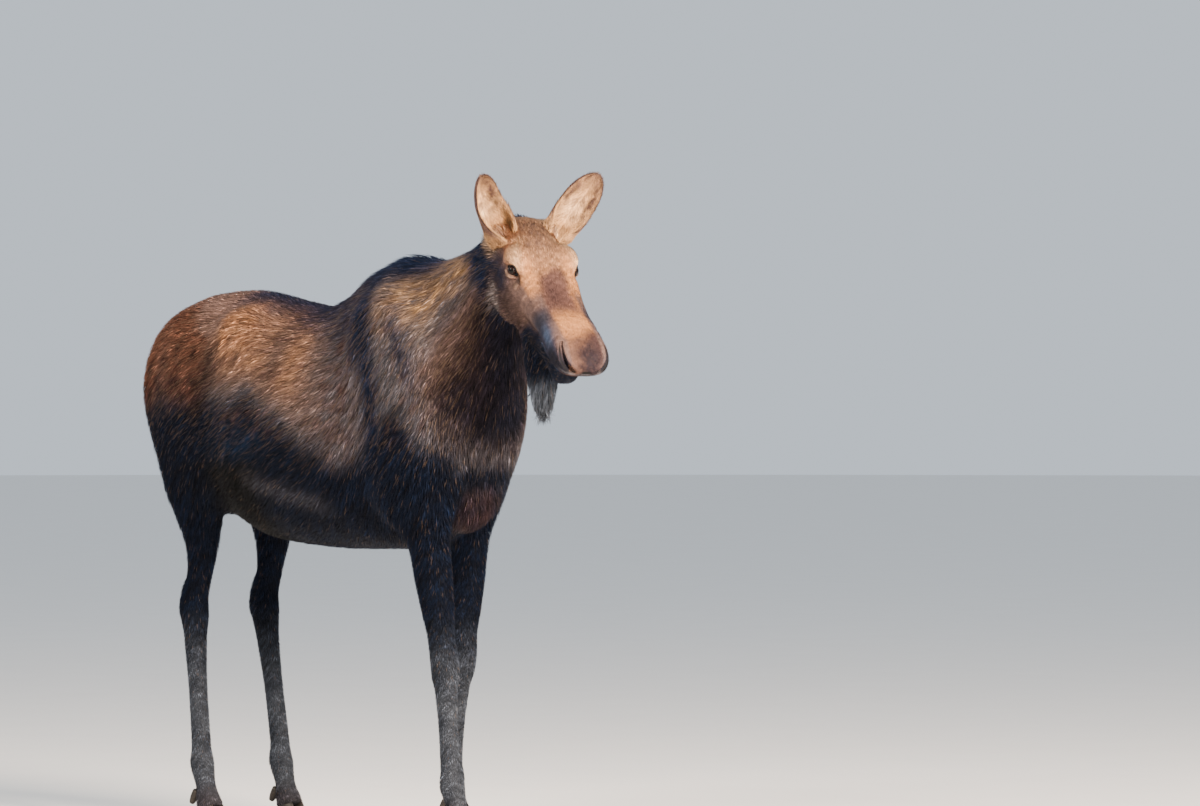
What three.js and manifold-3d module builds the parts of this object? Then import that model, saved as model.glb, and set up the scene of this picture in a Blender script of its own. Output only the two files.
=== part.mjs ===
// A standing cow moose in winter coat, life size, with its head turned a little to its right.
// The flesh is one smooth field of sections, limbs and muscles. It is meshed once, thinned, and
// parted with thin cuts into trunk, neck, head, jaw, bell, tail and legs. Ears, eyes and hooves
// are pieces of their own. Units are millimetres: x to the animal's left, y to its rear, z up.
import * as THREE from "three";
import { mergeVertices } from "three/addons/utils/BufferGeometryUtils.js";
import Module from "manifold-3d";

// ---------------------------------------------------------------- driving dimensions
const GAP = 0.4; // between neighbouring nodes
const CELL = 14; // grid step of the flesh mesh
const FLESH_TRIANGLES = 4700; // after thinning
const ORIGIN_SHIFT = [0, -134, 0]; // puts the origin under the middle of the whole animal

const HEAD_AT = [-58, -560, 1962]; // top of the poll
const HEAD_TURN = 17; // degrees to the animal's right
const HEAD_DIP = 43; // degrees that the face points down

const EYE_RADIUS = 19;
const EYE_AT = { along: 211, side: 99, up: -35 };
const LID_OPENING = [24, 34, 15]; // along, sideways and up, centred a little outside the eye
const NOSTRIL_AT = { along: 600, side: 70, up: -34 };
const NOSTRIL_RADII = [45, 14, 9];

const EAR_LENGTH = 248;
const EAR_HALF_WIDTH = 59;
const EAR_WALL = 9;
// Each ear's axis and the way that it opens: ahead, to the animal's left, and up.
const EAR_SET = {
  left: { axis: [0.28, 0.52, 0.8], opens: [1, -0.35, 0] },
  right: { axis: [0.5, -0.46, 0.8], opens: [1, 0.3, 0] },
};

// Superellipse sections: [along, top, widest, bottom, half width, power above, power below].
const TRUNK = [
  [-250, 1640, 1330, 1020, 138, 2.1, 2.1],
  [-130, 1795, 1310, 956, 206, 1.8, 2.1],
  [0, 1838, 1290, 922, 245, 1.6, 2.2],
  [150, 1812, 1270, 918, 265, 1.6, 2.3],
  [290, 1728, 1255, 916, 290, 1.8, 2.3],
  [420, 1688, 1250, 920, 308, 2.0, 2.3],
  [600, 1712, 1275, 936, 302, 2.1, 2.3],
  [800, 1744, 1340, 1005, 262, 2.0, 2.2],
  [950, 1736, 1390, 1110, 238, 2.0, 2.1],
  [1080, 1703, 1430, 1190, 214, 2.0, 2.0],
];
const TRUNK_CAPS = [80, 150]; // how far the ends round off, front and rear

const SKULL = [
  [-30, -30, -100, -190, 78, 2.1, 2.1],
  [30, 10, -88, -212, 97, 2.0, 2.1],
  [110, 16, -80, -222, 112, 2.2, 2.1],
  [200, 8, -72, -212, 108, 2.6, 2.1],
  [280, -2, -54, -178, 101, 2.8, 2.1],
  [360, -8, -48, -146, 92, 2.8, 2.0],
  [430, -3, -48, -132, 87, 2.6, 1.8],
  [500, 8, -50, -126, 90, 2.6, 1.8],
  [560, 6, -50, -118, 85, 2.4, 1.8],
  [602, -6, -46, -92, 76, 2.3, 2.0],
];
const SKULL_CAPS = [40, 55];

const MANDIBLE = [
  [150, -110, -180, -256, 66, 2.0, 2.2],
  [240, -110, -170, -240, 60, 2.0, 2.2],
  [320, -110, -160, -214, 53, 2.0, 2.2],
  [400, -112, -154, -196, 49, 2.0, 2.2],
  [470, -114, -154, -190, 46, 2.0, 2.2],
  [545, -114, -152, -191, 44, 2.0, 2.3],
];
const MANDIBLE_CAPS = [50, 30];

// Neck sections in a frame of its own, which starts inside the shoulders and runs to the poll.
const NECK_AT = [0, -60, 1500];
const NECK_RISE = 35; // degrees
const NECK = [
  [0, 300, -20, -420, 200, 2.0, 2.1],
  [100, 296, -30, -385, 190, 2.0, 2.1],
  [180, 248, -40, -335, 168, 2.0, 2.1],
  [262, 206, -30, -276, 146, 2.0, 2.1],
  [331, 188, -10, -215, 132, 2.1, 2.1],
  [403, 160, 0, -160, 120, 2.2, 2.1],
  [480, 140, 0, -118, 108, 2.2, 2.1],
  [566, 122, 0, -92, 98, 2.2, 2.1],
];
const NECK_CAPS = [80, 70];
const NECK_BEND = -52; // sideways at the poll

// Limbs: [z, x, y, half width, half depth] down each leg, for the animal's left side (x > 0).
const FORELEG = [
  [1180, 180, -160, 74, 110],
  [1050, 172, -156, 68, 102],
  [930, 160, -165, 57, 80],
  [830, 154, -172, 54, 72],
  [735, 150, -180, 49, 61],
  [650, 147, -186, 43, 50],
  [590, 145, -191, 45, 51],
  [545, 144, -191, 44, 50],
  [490, 143, -188, 35, 41],
  [370, 141, -186, 30, 35],
  [250, 139, -186, 31, 37],
  [195, 138, -190, 39, 44],
  [135, 138, -208, 34, 36],
  [84, 138, -226, 42, 47],
  [30, 138, -240, 44, 50],
];
const HINDLEG = [
  [1420, 138, 910, 96, 212],
  [1250, 166, 908, 92, 196],
  [1090, 170, 914, 74, 140],
  [1000, 160, 910, 59, 99],
  [915, 152, 906, 48, 66],
  [830, 147, 922, 40, 51],
  [765, 144, 940, 38, 48],
  [700, 142, 952, 42, 56],
  [620, 141, 948, 36, 45],
  [430, 140, 930, 30, 36],
  [270, 139, 914, 31, 38],
  [212, 138, 910, 39, 44],
  [145, 138, 892, 34, 36],
  [86, 138, 872, 42, 47],
  [30, 138, 858, 44, 50],
];
const CORONET_HEIGHT = 74; // flesh ends here and the hooves begin
const CORONET_SLOPE = 0.3; // the coronet rises to the front

// How each leg is set: its shift to the rear at the hoof, and at the elbow or stifle.
const LEGS = [
  { name: "foreleg_right", side: -1, rows: FORELEG, foot: -120, top: -60 },
  { name: "foreleg_left", side: 1, rows: FORELEG, foot: 205, top: 125 },
  { name: "hindleg_right", side: -1, rows: HINDLEG, foot: 18, top: 0 },
  { name: "hindleg_left", side: 1, rows: HINDLEG, foot: -50, top: 35 },
];

// ---------------------------------------------------------------- small mathematics
const radians = (degrees) => (degrees * Math.PI) / 180;
const clamp = (v, low, high) => Math.min(high, Math.max(low, v));
const mix = (a, b, t) => a + (b - a) * t;
const ease = (t) => t * t * (3 - 2 * t);

// Smooth union and smooth cut, k is the width of the blend.
function blend(a, b, k) {
  const h = Math.max(k - Math.abs(a - b), 0) / k;
  return Math.min(a, b) - (h * h * k) / 4;
}

function carve(a, b, k) {
  return -blend(-a, b, k);
}

// A smooth curve through rows, one per column after the first, with no overshoot.
function tableCurve(rows) {
  const t = rows.map((r) => r[0]);
  const columns = rows[0].length - 1;
  const slopes = Array.from({ length: columns }, (_, c) => {
    const v = rows.map((r) => r[c + 1]);
    const secant = v.slice(1).map((b, i) => (b - v[i]) / (t[i + 1] - t[i]));
    return v.map((_, i) => {
      if (i === 0) return secant[0];
      if (i === v.length - 1) return secant[i - 1];
      const [p, q] = [secant[i - 1], secant[i]];
      return p * q <= 0 ? 0 : (2 * p * q) / (p + q);
    });
  });
  return (at) => {
    const x = clamp(at, t[0], t[t.length - 1]);
    let i = 0;
    while (i < t.length - 2 && x > t[i + 1]) i++;
    const h = t[i + 1] - t[i];
    const s = (x - t[i]) / h;
    const s2 = s * s;
    const s3 = s2 * s;
    return slopes.map((m, c) => {
      const [a, b] = [rows[i][c + 1], rows[i + 1][c + 1]];
      return (
        a * (2 * s3 - 3 * s2 + 1) +
        b * (3 * s2 - 2 * s3) +
        h * (m[i] * (s3 - 2 * s2 + s) + m[i + 1] * (s3 - s2))
      );
    });
  };
}

// Distance to a body of superellipse sections, with rounded ends.
function sectionBody(rows, [frontCap, rearCap]) {
  const at = tableCurve(rows);
  const start = rows[0][0];
  const end = rows[rows.length - 1][0];
  return (along, side, up) => {
    const [top, widest, bottom, halfWidth, powerUp, powerDown] = at(along);
    const above = up > widest;
    const halfHeight = above ? top - widest : widest - bottom;
    const n = above ? powerUp : powerDown;
    const p = Math.abs(side) / halfWidth + 1e-6;
    const q = Math.abs(up - widest) / halfHeight + 1e-6;
    const rho = (p ** n + q ** n) ** (1 / n);
    const gp = (p / rho) ** (n - 1) / halfWidth;
    const gq = (q / rho) ** (n - 1) / halfHeight;
    const past = along < start ? (start - along) / frontCap : Math.max(0, along - end) / rearCap;
    const cap = along < start ? frontCap : rearCap;
    const total = Math.hypot(rho, past);
    const slope = Math.hypot(rho * gp, rho * gq, past / cap) / total;
    return (total - 1) / Math.max(slope, 1e-4);
  };
}

// Distance to a limb of upright rows, each an ellipse level with the ground.
function limb(rows, topCap) {
  const at = tableCurve(rows);
  const lowest = rows[0][0];
  const highest = rows[rows.length - 1][0];
  return (x, y, z) => {
    const [cx, cy, halfWidth, halfDepth] = at(z);
    const p = (x - cx) / halfWidth;
    const q = (y - cy) / halfDepth;
    const past = z > highest ? (z - highest) / topCap : Math.max(0, lowest - z) / halfWidth;
    const total = Math.hypot(p, q, past) + 1e-6;
    const slope = Math.hypot(p / halfWidth, q / halfDepth, past / topCap) / total;
    return (total - 1) / Math.max(slope, 1 / Math.max(halfWidth, halfDepth));
  };
}

// Distance to an ellipsoid whose long axes lean by tilt degrees in the side view.
function ellipsoid(x, y, z, [cx, cy, cz], [rx, ry, rz], tilt = 0) {
  const c = Math.cos(radians(tilt));
  const s = Math.sin(radians(tilt));
  const px = x - cx;
  const py = c * (y - cy) + s * (z - cz);
  const pz = c * (z - cz) - s * (y - cy);
  const k0 = Math.hypot(px / rx, py / ry, pz / rz);
  const k1 = Math.hypot(px / rx ** 2, py / ry ** 2, pz / rz ** 2);
  return k1 > 1e-9 ? (k0 * (k0 - 1)) / k1 : -Math.min(rx, ry, rz);
}

// ---------------------------------------------------------------- frames
// The head's own frame: along from poll to nose, side to the left, up out of the face.
const turn = radians(HEAD_TURN);
const dip = radians(HEAD_DIP);
const ahead = new THREE.Vector3(-Math.sin(turn), -Math.cos(turn), 0);
const headAlong = ahead.clone().multiplyScalar(Math.cos(dip)).setZ(-Math.sin(dip));
const headSide = new THREE.Vector3(Math.cos(turn), -Math.sin(turn), 0);
const headUp = ahead.clone().multiplyScalar(Math.sin(dip)).setZ(Math.cos(dip));
const headOrigin = new THREE.Vector3(...HEAD_AT);

function inHead(x, y, z) {
  const d = new THREE.Vector3(x, y, z).sub(headOrigin);
  return [d.dot(headAlong), d.dot(headSide), d.dot(headUp)];
}

function fromHead(along, side, up) {
  return headOrigin
    .clone()
    .addScaledVector(headAlong, along)
    .addScaledVector(headSide, side)
    .addScaledVector(headUp, up);
}

// The rows of one leg from the ground up, mirrored to its side and shifted to its foot.
function legRows({ side, rows, foot, top }) {
  const high = rows[1][0];
  return rows
    .map(([z, x, y, halfWidth, halfDepth]) => {
      const down = clamp((high - z) / (high - CORONET_HEIGHT), 0, 1);
      return [z, side * x, y + mix(top, foot, ease(down)), halfWidth, halfDepth];
    })
    .reverse();
}

// ---------------------------------------------------------------- the flesh
const trunkBody = sectionBody(TRUNK, TRUNK_CAPS);
const skullBody = sectionBody(SKULL, SKULL_CAPS);
const jawBody = sectionBody(MANDIBLE, MANDIBLE_CAPS);
const neckBody = sectionBody(NECK, NECK_CAPS);
const legTables = LEGS.map(legRows);
const legBodies = legTables.map((rows) => limb(rows, 90));

function trunkField(x, y, z) {
  const ax = Math.abs(x);
  const back = x > 0 ? 1 : 0; // the left shoulder is drawn back with its leg
  let d = trunkBody(y, x, z);
  d = blend(d, ellipsoid(ax, y, z, [172, -75, 1480], [82, 150, 260], -18), 90); // shoulder blade
  d = blend(d, ellipsoid(ax, y, z, [160 - 12 * back, -228 + 110 * back, 1265], [80, 104, 150]), 90); // point of shoulder
  d = blend(d, ellipsoid(ax, y, z, [184, -130 + 105 * back, 1150], [74, 126, 140]), 80); // upper arm
  d = blend(d, ellipsoid(x, y, z, [-20, -238, 1085], [84, 82, 108]), 60); // brisket
  d = blend(d, ellipsoid(ax, y, z, [185, 650, 1590], [62, 95, 75]), 110); // hip bone
  d = blend(d, ellipsoid(ax, y, z, [130, 915, 1410], [112, 222, 260]), 100); // rump
  return d;
}

function legField(x, y, z) {
  let d = 1e6;
  LEGS.forEach(({ side, top, foot, rows }, i) => {
    if (side * x < -60) return;
    let leg = legBodies[i](x, y, z);
    if (rows === HINDLEG) {
      const point = [side * 142, 992 + mix(top, foot, 0.4), 752];
      const stifle = [side * 172, 805 + top, 1185];
      leg = blend(leg, ellipsoid(x, y, z, point, [22, 24, 64], 14), 36);
      leg = blend(leg, ellipsoid(x, y, z, stifle, [70, 92, 122], 20), 80);
    } else {
      leg = blend(leg, ellipsoid(x, y, z, [side * 170, -70 + top, 1065], [46, 54, 66]), 60);
    }
    d = Math.min(d, leg);
  });
  return d;
}

function headField(x, y, z) {
  const [along, side, up] = inHead(x, y, z);
  const a = Math.abs(side);
  let d = skullBody(along, side, up);
  d = blend(d, jawBody(along, side, up), 34);
  d = blend(d, ellipsoid(a, along, up, [66, 185, -140], [42, 112, 92]), 50); // cheek
  d = blend(d, ellipsoid(a, along, up, [82, 178, -14], [38, 50, 32]), 36); // brow and orbit
  d = carve(d, ellipsoid(a, along, up, [130, 236, -42], [34, 50, 26]), 16); // hollow of the eye
  d = blend(d, ellipsoid(a, along, up, [44, 572, -46], [44, 68, 46]), 30); // muffle
  d = blend(d, ellipsoid(a, along, up, [74, 18, -56], [36, 44, 40]), 36); // base of the ear
  return d;
}

// The bell hangs from the throat just behind the chin.
const BELL_TOP = fromHead(370, 0, -190);
const bellBody = limb(
  [
    [1366, BELL_TOP.x, BELL_TOP.y + 6, 24, 40],
    [1430, BELL_TOP.x, BELL_TOP.y + 8, 31, 60],
    [1520, BELL_TOP.x, BELL_TOP.y + 8, 38, 80],
    [1600, BELL_TOP.x, BELL_TOP.y + 6, 44, 92],
  ],
  60,
);

// The neck bends to the side as it rises to the poll.
function neckField(x, y, z) {
  const [c, s] = [Math.cos(radians(NECK_RISE)), Math.sin(radians(NECK_RISE))];
  const [dy, dz] = [NECK_AT[1] - y, z - NECK_AT[2]];
  const along = c * dy + s * dz;
  const bend = NECK_BEND * ease(clamp((along - 60) / 560, 0, 1));
  return neckBody(along, x - bend, c * dz - s * dy);
}

const tailBody = limb(
  [
    [1425, 0, 1262, 18, 15],
    [1490, 0, 1254, 28, 22],
    [1560, 0, 1200, 34, 30],
  ],
  50,
);

// Runs a part of the field only near its box, and gives a far distance elsewhere.
function near([x0, y0, z0], [x1, y1, z1], field) {
  const margin = 160;
  return (x, y, z) => {
    const dx = Math.max(x0 - x, x - x1, 0);
    const dy = Math.max(y0 - y, y - y1, 0);
    const dz = Math.max(z0 - z, z - z1, 0);
    const far = Math.hypot(dx, dy, dz);
    return far > margin ? far : field(x, y, z);
  };
}

const parts = {
  trunk: near([-330, -360, 900], [330, 1260, 1860], trunkField),
  neck: near([-230, -620, 1180], [230, 260, 1990], neckField),
  head: near([-370, -1110, 1400], [160, -500, 2010], headField),
  bell: near([-170, -840, 1320], [20, -560, 1650], bellBody),
  legs: near([-290, -400, 0], [290, 1120, 1600], legField),
  tail: near([-60, 1150, 1380], [60, 1310, 1620], tailBody),
};

function flesh(x, y, z) {
  let d = blend(parts.trunk(x, y, z), parts.neck(x, y, z), 130);
  d = blend(d, parts.legs(x, y, z), 70);
  d = blend(d, parts.head(x, y, z), 60);
  d = blend(d, parts.bell(x, y, z), 40);
  d = blend(d, parts.tail(x, y, z), 34);
  return Math.max(d, CORONET_HEIGHT - 40 - z);
}

// ---------------------------------------------------------------- meshing a field
// Naive surface nets: one vertex in each grid cell that the surface crosses, then one quad for
// each crossed grid edge. Blocks of cells far from the surface are skipped.
function surfaceNet(field, low, high, step) {
  const n = low.map((v, i) => Math.ceil((high[i] - v) / step) + 1);
  const [nx, ny, nz] = n;
  const at = (i, j, k) => (i * ny + j) * nz + k;
  const values = new Float32Array(nx * ny * nz).fill(1e3);
  const block = 4;
  for (let i = 0; i < nx; i += block)
    for (let j = 0; j < ny; j += block)
      for (let k = 0; k < nz; k += block) {
        const middle = [i, j, k].map((v, c) => low[c] + (v + (block - 1) / 2) * step);
        const d = field(...middle);
        const skip = Math.abs(d) > 1.6 * block * step;
        for (let a = i; a < Math.min(i + block, nx); a++)
          for (let b = j; b < Math.min(j + block, ny); b++)
            for (let c = k; c < Math.min(k + block, nz); c++)
              values[at(a, b, c)] = skip
                ? d
                : field(low[0] + a * step, low[1] + b * step, low[2] + c * step);
      }
  const cellVertex = new Int32Array(values.length).fill(-1);
  const vertices = [];
  const corner = [0, 1, 2, 3, 4, 5, 6, 7].map((c) => [c & 1, (c >> 1) & 1, c >> 2]);
  const edges = [
    [0, 1], [2, 3], [4, 5], [6, 7], [0, 2], [1, 3], [4, 6], [5, 7], [0, 4], [1, 5], [2, 6], [3, 7],
  ];
  for (let i = 0; i < nx - 1; i++)
    for (let j = 0; j < ny - 1; j++)
      for (let k = 0; k < nz - 1; k++) {
        const v = corner.map(([a, b, c]) => values[at(i + a, j + b, k + c)]);
        const inside = v.filter((d) => d < 0).length;
        if (inside === 0 || inside === 8) continue;
        const sum = [0, 0, 0];
        let crossings = 0;
        for (const [p, q] of edges) {
          if (v[p] < 0 === v[q] < 0) continue;
          const t = v[p] / (v[p] - v[q]);
          for (let c = 0; c < 3; c++) sum[c] += mix(corner[p][c], corner[q][c], t);
          crossings++;
        }
        cellVertex[at(i, j, k)] = vertices.length;
        vertices.push([i, j, k].map((c, axis) => low[axis] + (c + sum[axis] / crossings) * step));
      }
  const triangles = [];
  const strides = [ny * nz, nz, 1];
  for (let i = 1; i < nx - 1; i++)
    for (let j = 1; j < ny - 1; j++)
      for (let k = 1; k < nz - 1; k++) {
        const here = at(i, j, k);
        for (let axis = 0; axis < 3; axis++) {
          const inside = values[here] < 0;
          if (inside === values[here + strides[axis]] < 0) continue;
          const [u, w] = [strides[(axis + 1) % 3], strides[(axis + 2) % 3]];
          const quad = [here - u - w, here - w, here, here - u].map((c) => cellVertex[c]);
          if (!inside) quad.reverse();
          triangles.push([quad[0], quad[1], quad[2]], [quad[0], quad[2], quad[3]]);
        }
      }
  return { vertices, triangles };
}

// ---------------------------------------------------------------- thinning a mesh
// Collapses the edges that matter least, by quadric error, and keeps the mesh one closed body.
function thin({ vertices, triangles }, target, weight) {
  const position = vertices.map((v) => v.slice());
  const faces = triangles.map((t) => t.slice());
  const alive = faces.map(() => true);
  const around = vertices.map(() => new Set());
  const quadric = vertices.map(() => new Float64Array(10));
  const stamp = new Int32Array(vertices.length);
  const gone = new Uint8Array(vertices.length);

  const normalOf = ([a, b, c], moved, to) => {
    const [p, q, r] = [a, b, c].map((v) => (v === moved ? to : position[v]));
    const e = [q[0] - p[0], q[1] - p[1], q[2] - p[2]];
    const f = [r[0] - p[0], r[1] - p[1], r[2] - p[2]];
    return [e[1] * f[2] - e[2] * f[1], e[2] * f[0] - e[0] * f[2], e[0] * f[1] - e[1] * f[0]];
  };
  faces.forEach((f, i) => {
    const n = normalOf(f, -1);
    const long = Math.hypot(...n) || 1;
    const [a, b, c] = n.map((v) => v / long);
    const d = -(a * position[f[0]][0] + b * position[f[0]][1] + c * position[f[0]][2]);
    const w = long * weight(position[f[0]]);
    const q = [a * a, a * b, a * c, a * d, b * b, b * c, b * d, c * c, c * d, d * d];
    for (const v of f) {
      around[v].add(i);
      for (let k = 0; k < 10; k++) quadric[v][k] += w * q[k];
    }
  });
  const errorAt = (q, [x, y, z]) =>
    q[0] * x * x + 2 * q[1] * x * y + 2 * q[2] * x * z + 2 * q[3] * x + q[4] * y * y +
    2 * q[5] * y * z + 2 * q[6] * y + q[7] * z * z + 2 * q[8] * z + q[9];
  const bestPoint = (q, a, b) => {
    const m = new THREE.Matrix3().set(q[0], q[1], q[2], q[1], q[4], q[5], q[2], q[5], q[7]);
    const middle = a.map((v, i) => (v + b[i]) / 2);
    const choices = [a, b, middle];
    if (Math.abs(m.determinant()) > 1e-6 * Math.abs(q[0] + q[4] + q[7]) ** 3) {
      const p = new THREE.Vector3(-q[3], -q[6], -q[8]).applyMatrix3(m.invert()).toArray();
      if (Math.hypot(...p.map((v, i) => v - middle[i])) < 2 * Math.hypot(...a.map((v, i) => v - b[i])))
        choices.push(p);
    }
    const errors = choices.map((p) => errorAt(q, p));
    const best = errors.indexOf(Math.min(...errors));
    return [choices[best], errors[best]];
  };

  // A binary heap of [error, a, b, stamp of a, stamp of b, point].
  const heap = [];
  const swap = (i, j) => ([heap[i], heap[j]] = [heap[j], heap[i]]);
  const push = (item) => {
    let i = heap.push(item) - 1;
    while (i > 0 && heap[(i - 1) >> 1][0] > heap[i][0]) {
      swap(i, (i - 1) >> 1);
      i = (i - 1) >> 1;
    }
  };
  const pop = () => {
    const top = heap[0];
    const last = heap.pop();
    if (heap.length) {
      heap[0] = last;
      for (let i = 0; ; ) {
        const l = 2 * i + 1;
        if (l >= heap.length) break;
        const c = l + 1 < heap.length && heap[l + 1][0] < heap[l][0] ? l + 1 : l;
        if (heap[i][0] <= heap[c][0]) break;
        swap(i, c);
        i = c;
      }
    }
    return top;
  };
  const queue = (a, b) => {
    const q = quadric[a].map((v, i) => v + quadric[b][i]);
    const [point, error] = bestPoint(q, position[a], position[b]);
    const shape = 1e-3 * Math.hypot(...position[a].map((v, i) => v - position[b][i]));
    push([error + shape, a, b, stamp[a], stamp[b], point]);
  };
  const neighbours = (v) => {
    const found = new Set();
    for (const f of around[v]) for (const w of faces[f]) if (w !== v) found.add(w);
    return found;
  };
  vertices.forEach((_, v) => neighbours(v).forEach((w) => w > v && queue(v, w)));

  const flips = (v, other, to) => {
    for (const f of around[v]) {
      if (faces[f].includes(other)) continue;
      const before = normalOf(faces[f], -1);
      const after = normalOf(faces[f], v, to);
      const dot = before[0] * after[0] + before[1] * after[1] + before[2] * after[2];
      if (dot < 0.25 * Math.hypot(...before) * Math.hypot(...after)) return true;
    }
    return false;
  };
  let count = faces.length;
  while (count > target && heap.length) {
    const [, a, b, sa, sb, point] = pop();
    if (gone[a] || gone[b] || stamp[a] !== sa || stamp[b] !== sb) continue;
    const nearB = neighbours(b);
    const shared = [...neighbours(a)].filter((v) => nearB.has(v));
    if (shared.length !== 2 || flips(a, b, point) || flips(b, a, point)) continue;
    position[a] = point;
    quadric[a] = quadric[a].map((v, i) => v + quadric[b][i]);
    gone[b] = 1;
    stamp[a]++;
    for (const f of around[b]) {
      if (faces[f].includes(a)) {
        alive[f] = false;
        count--;
        faces[f].forEach((v) => v !== b && around[v].delete(f));
      } else {
        faces[f] = faces[f].map((v) => (v === b ? a : v));
        around[a].add(f);
      }
    }
    neighbours(a).forEach((v) => queue(a, v));
  }
  return { vertices: position, triangles: faces.filter((_, i) => alive[i]) };
}

// ---------------------------------------------------------------- solids
const wasm = await Module();
wasm.setup();

function solidFrom({ vertices, triangles }) {
  return new wasm.Manifold(
    new wasm.Mesh({
      numProp: 3,
      vertProperties: new Float32Array(vertices.flat()),
      triVerts: new Uint32Array(triangles.flat()),
    }),
  );
}

function solidOf(geometry, matrix) {
  const bare = new THREE.BufferGeometry()
    .setAttribute("position", geometry.toNonIndexed().getAttribute("position"))
    .applyMatrix4(matrix);
  const merged = mergeVertices(bare, 1e-3);
  return new wasm.Manifold(
    new wasm.Mesh({
      numProp: 3,
      vertProperties: merged.getAttribute("position").array,
      triVerts: new Uint32Array(merged.index.array),
    }),
  );
}

// A vast box that fills the side of a plane that its normal points to.
function halfSpace(point, normal, outBy = 0) {
  const size = 6000;
  const n = new THREE.Vector3(...normal).normalize();
  const middle = new THREE.Vector3(...point).addScaledVector(n, size / 2 - outBy);
  const turned = new THREE.Quaternion().setFromUnitVectors(new THREE.Vector3(0, 0, 1), n);
  const matrix = new THREE.Matrix4().compose(middle, turned, new THREE.Vector3(1, 1, 1));
  return solidOf(new THREE.BoxGeometry(size, size, size), matrix);
}

// Parts a solid by a region of planes, each [point, normal into the region].
function part(solid, planes) {
  const region = (outBy) =>
    planes.map(([p, n]) => halfSpace(p, n, outBy)).reduce((a, b) => a.intersect(b));
  return [largest(solid.intersect(region(0))), largest(solid.subtract(region(GAP)))];
}

function largest(solid) {
  const pieces = solid.decompose();
  return pieces.reduce((a, b) => (a.volume() > b.volume() ? a : b));
}

// Joins rings of points into one closed body, with a fan or a strip at each end.
function ringSolid(rings, strip = false) {
  const count = rings[0].length;
  const vertices = rings.flat();
  const triangles = [];
  for (let r = 0; r < rings.length - 1; r++)
    for (let i = 0; i < count; i++) {
      const j = (i + 1) % count;
      const [a, b, c, d] = [r * count + i, r * count + j, (r + 1) * count + j, (r + 1) * count + i];
      triangles.push([a, b, c], [a, c, d]);
    }
  const close = (first, flip) => {
    const add = (a, b, c) => triangles.push(flip ? [c, b, a] : [a, b, c]);
    if (strip)
      for (let i = 0; i < count / 2 - 1; i++) {
        const [p, q, r, s] = [i, i + 1, count - 2 - i, count - 1 - i].map((v) => first + v);
        add(p, q, r);
        add(p, r, s);
      }
    else for (let i = 1; i < count - 1; i++) add(first, first + i, first + i + 1);
  };
  close(0, true);
  close((rings.length - 1) * count, false);
  const solid = solidFrom({ vertices, triangles });
  return solid.volume() > 0
    ? solid
    : solidFrom({ vertices, triangles: triangles.map((t) => [...t].reverse()) });
}

// ---------------------------------------------------------------- ears, hooves
// An ear is a leaf rolled to a cup that opens forward, with its root sunk in the head.
const EAR_STATIONS = 9;
const EAR_POINTS = 7;

// Half width of the leaf along the ear, as a share of the widest.
function earLeaf(t) {
  const widest = 0.44;
  if (t < widest) return 1 - 0.3 * ((widest - t) / widest) ** 2;
  return (1 - ((t - widest) / (1 - widest)) ** 2.5) ** 0.56;
}

function ear(side, grow = 0) {
  const base = fromHead(40, side * 99, -42);
  const level = ([forward, left, up]) =>
    new THREE.Vector3(0, 0, up).addScaledVector(ahead, forward).addScaledVector(headSide, left);
  const set = side > 0 ? EAR_SET.left : EAR_SET.right;
  const axis = level(set.axis).normalize();
  const opens = level(set.opens);
  opens.addScaledVector(axis, -opens.dot(axis)).normalize();
  const across = new THREE.Vector3().crossVectors(axis, opens);
  const rings = Array.from({ length: EAR_STATIONS }, (_, s) => {
    const t = s / (EAR_STATIONS - 1);
    const halfWidth = Math.max(EAR_HALF_WIDTH * earLeaf(t), 9);
    const roll = radians(mix(150, 60, ease(clamp(t * 1.6, 0, 1)))); // half angle of the arc
    const radius = halfWidth / Math.sin(Math.min(roll, Math.PI / 2));
    const wall = Math.min(mix(EAR_WALL, EAR_WALL * 0.7, t), radius * 0.6);
    const centre = base.clone().addScaledVector(axis, EAR_LENGTH * (t - 0.06));
    centre.addScaledVector(opens, radius - halfWidth * 0.55);
    if (s === 0) centre.addScaledVector(axis, -grow);
    const arc = (r, turnOf) =>
      Array.from({ length: EAR_POINTS }, (_, i) => {
        const angle = (roll + grow / radius) * turnOf(i);
        return centre
          .clone()
          .addScaledVector(across, r * Math.sin(angle))
          .addScaledVector(opens, -r * Math.cos(angle))
          .toArray();
      });
    const share = (i) => (2 * i) / (EAR_POINTS - 1) - 1;
    return [...arc(radius + grow, share), ...arc(radius - wall - grow, (i) => -share(i))];
  });
  return ringSolid(rings, true);
}

// One claw of a cloven hoof: a pointed half oval on the ground that narrows to the coronet.
const CLAW_POINTS = 12;
function claw(foot, outward) {
  const rings = [0, 0.4, 1].map((t) => {
    const length = mix(118, 74, t);
    const width = mix(46, 38, t);
    return Array.from({ length: CLAW_POINTS }, (_, i) => {
      const a = (2 * Math.PI * i) / CLAW_POINTS;
      const forward = (Math.cos(a) * length) / 2;
      const taper = 1 - 0.5 * Math.max(0, Math.cos(a)) ** 2;
      const sideways = (Math.sin(a) * width * taper) / 2;
      return [
        foot[0] + outward * (width / 2 + 2) + sideways,
        foot[1] - forward - mix(26, 4, t),
        t * (CORONET_HEIGHT + forward * CORONET_SLOPE),
      ];
    });
  });
  return ringSolid(rings);
}

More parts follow.
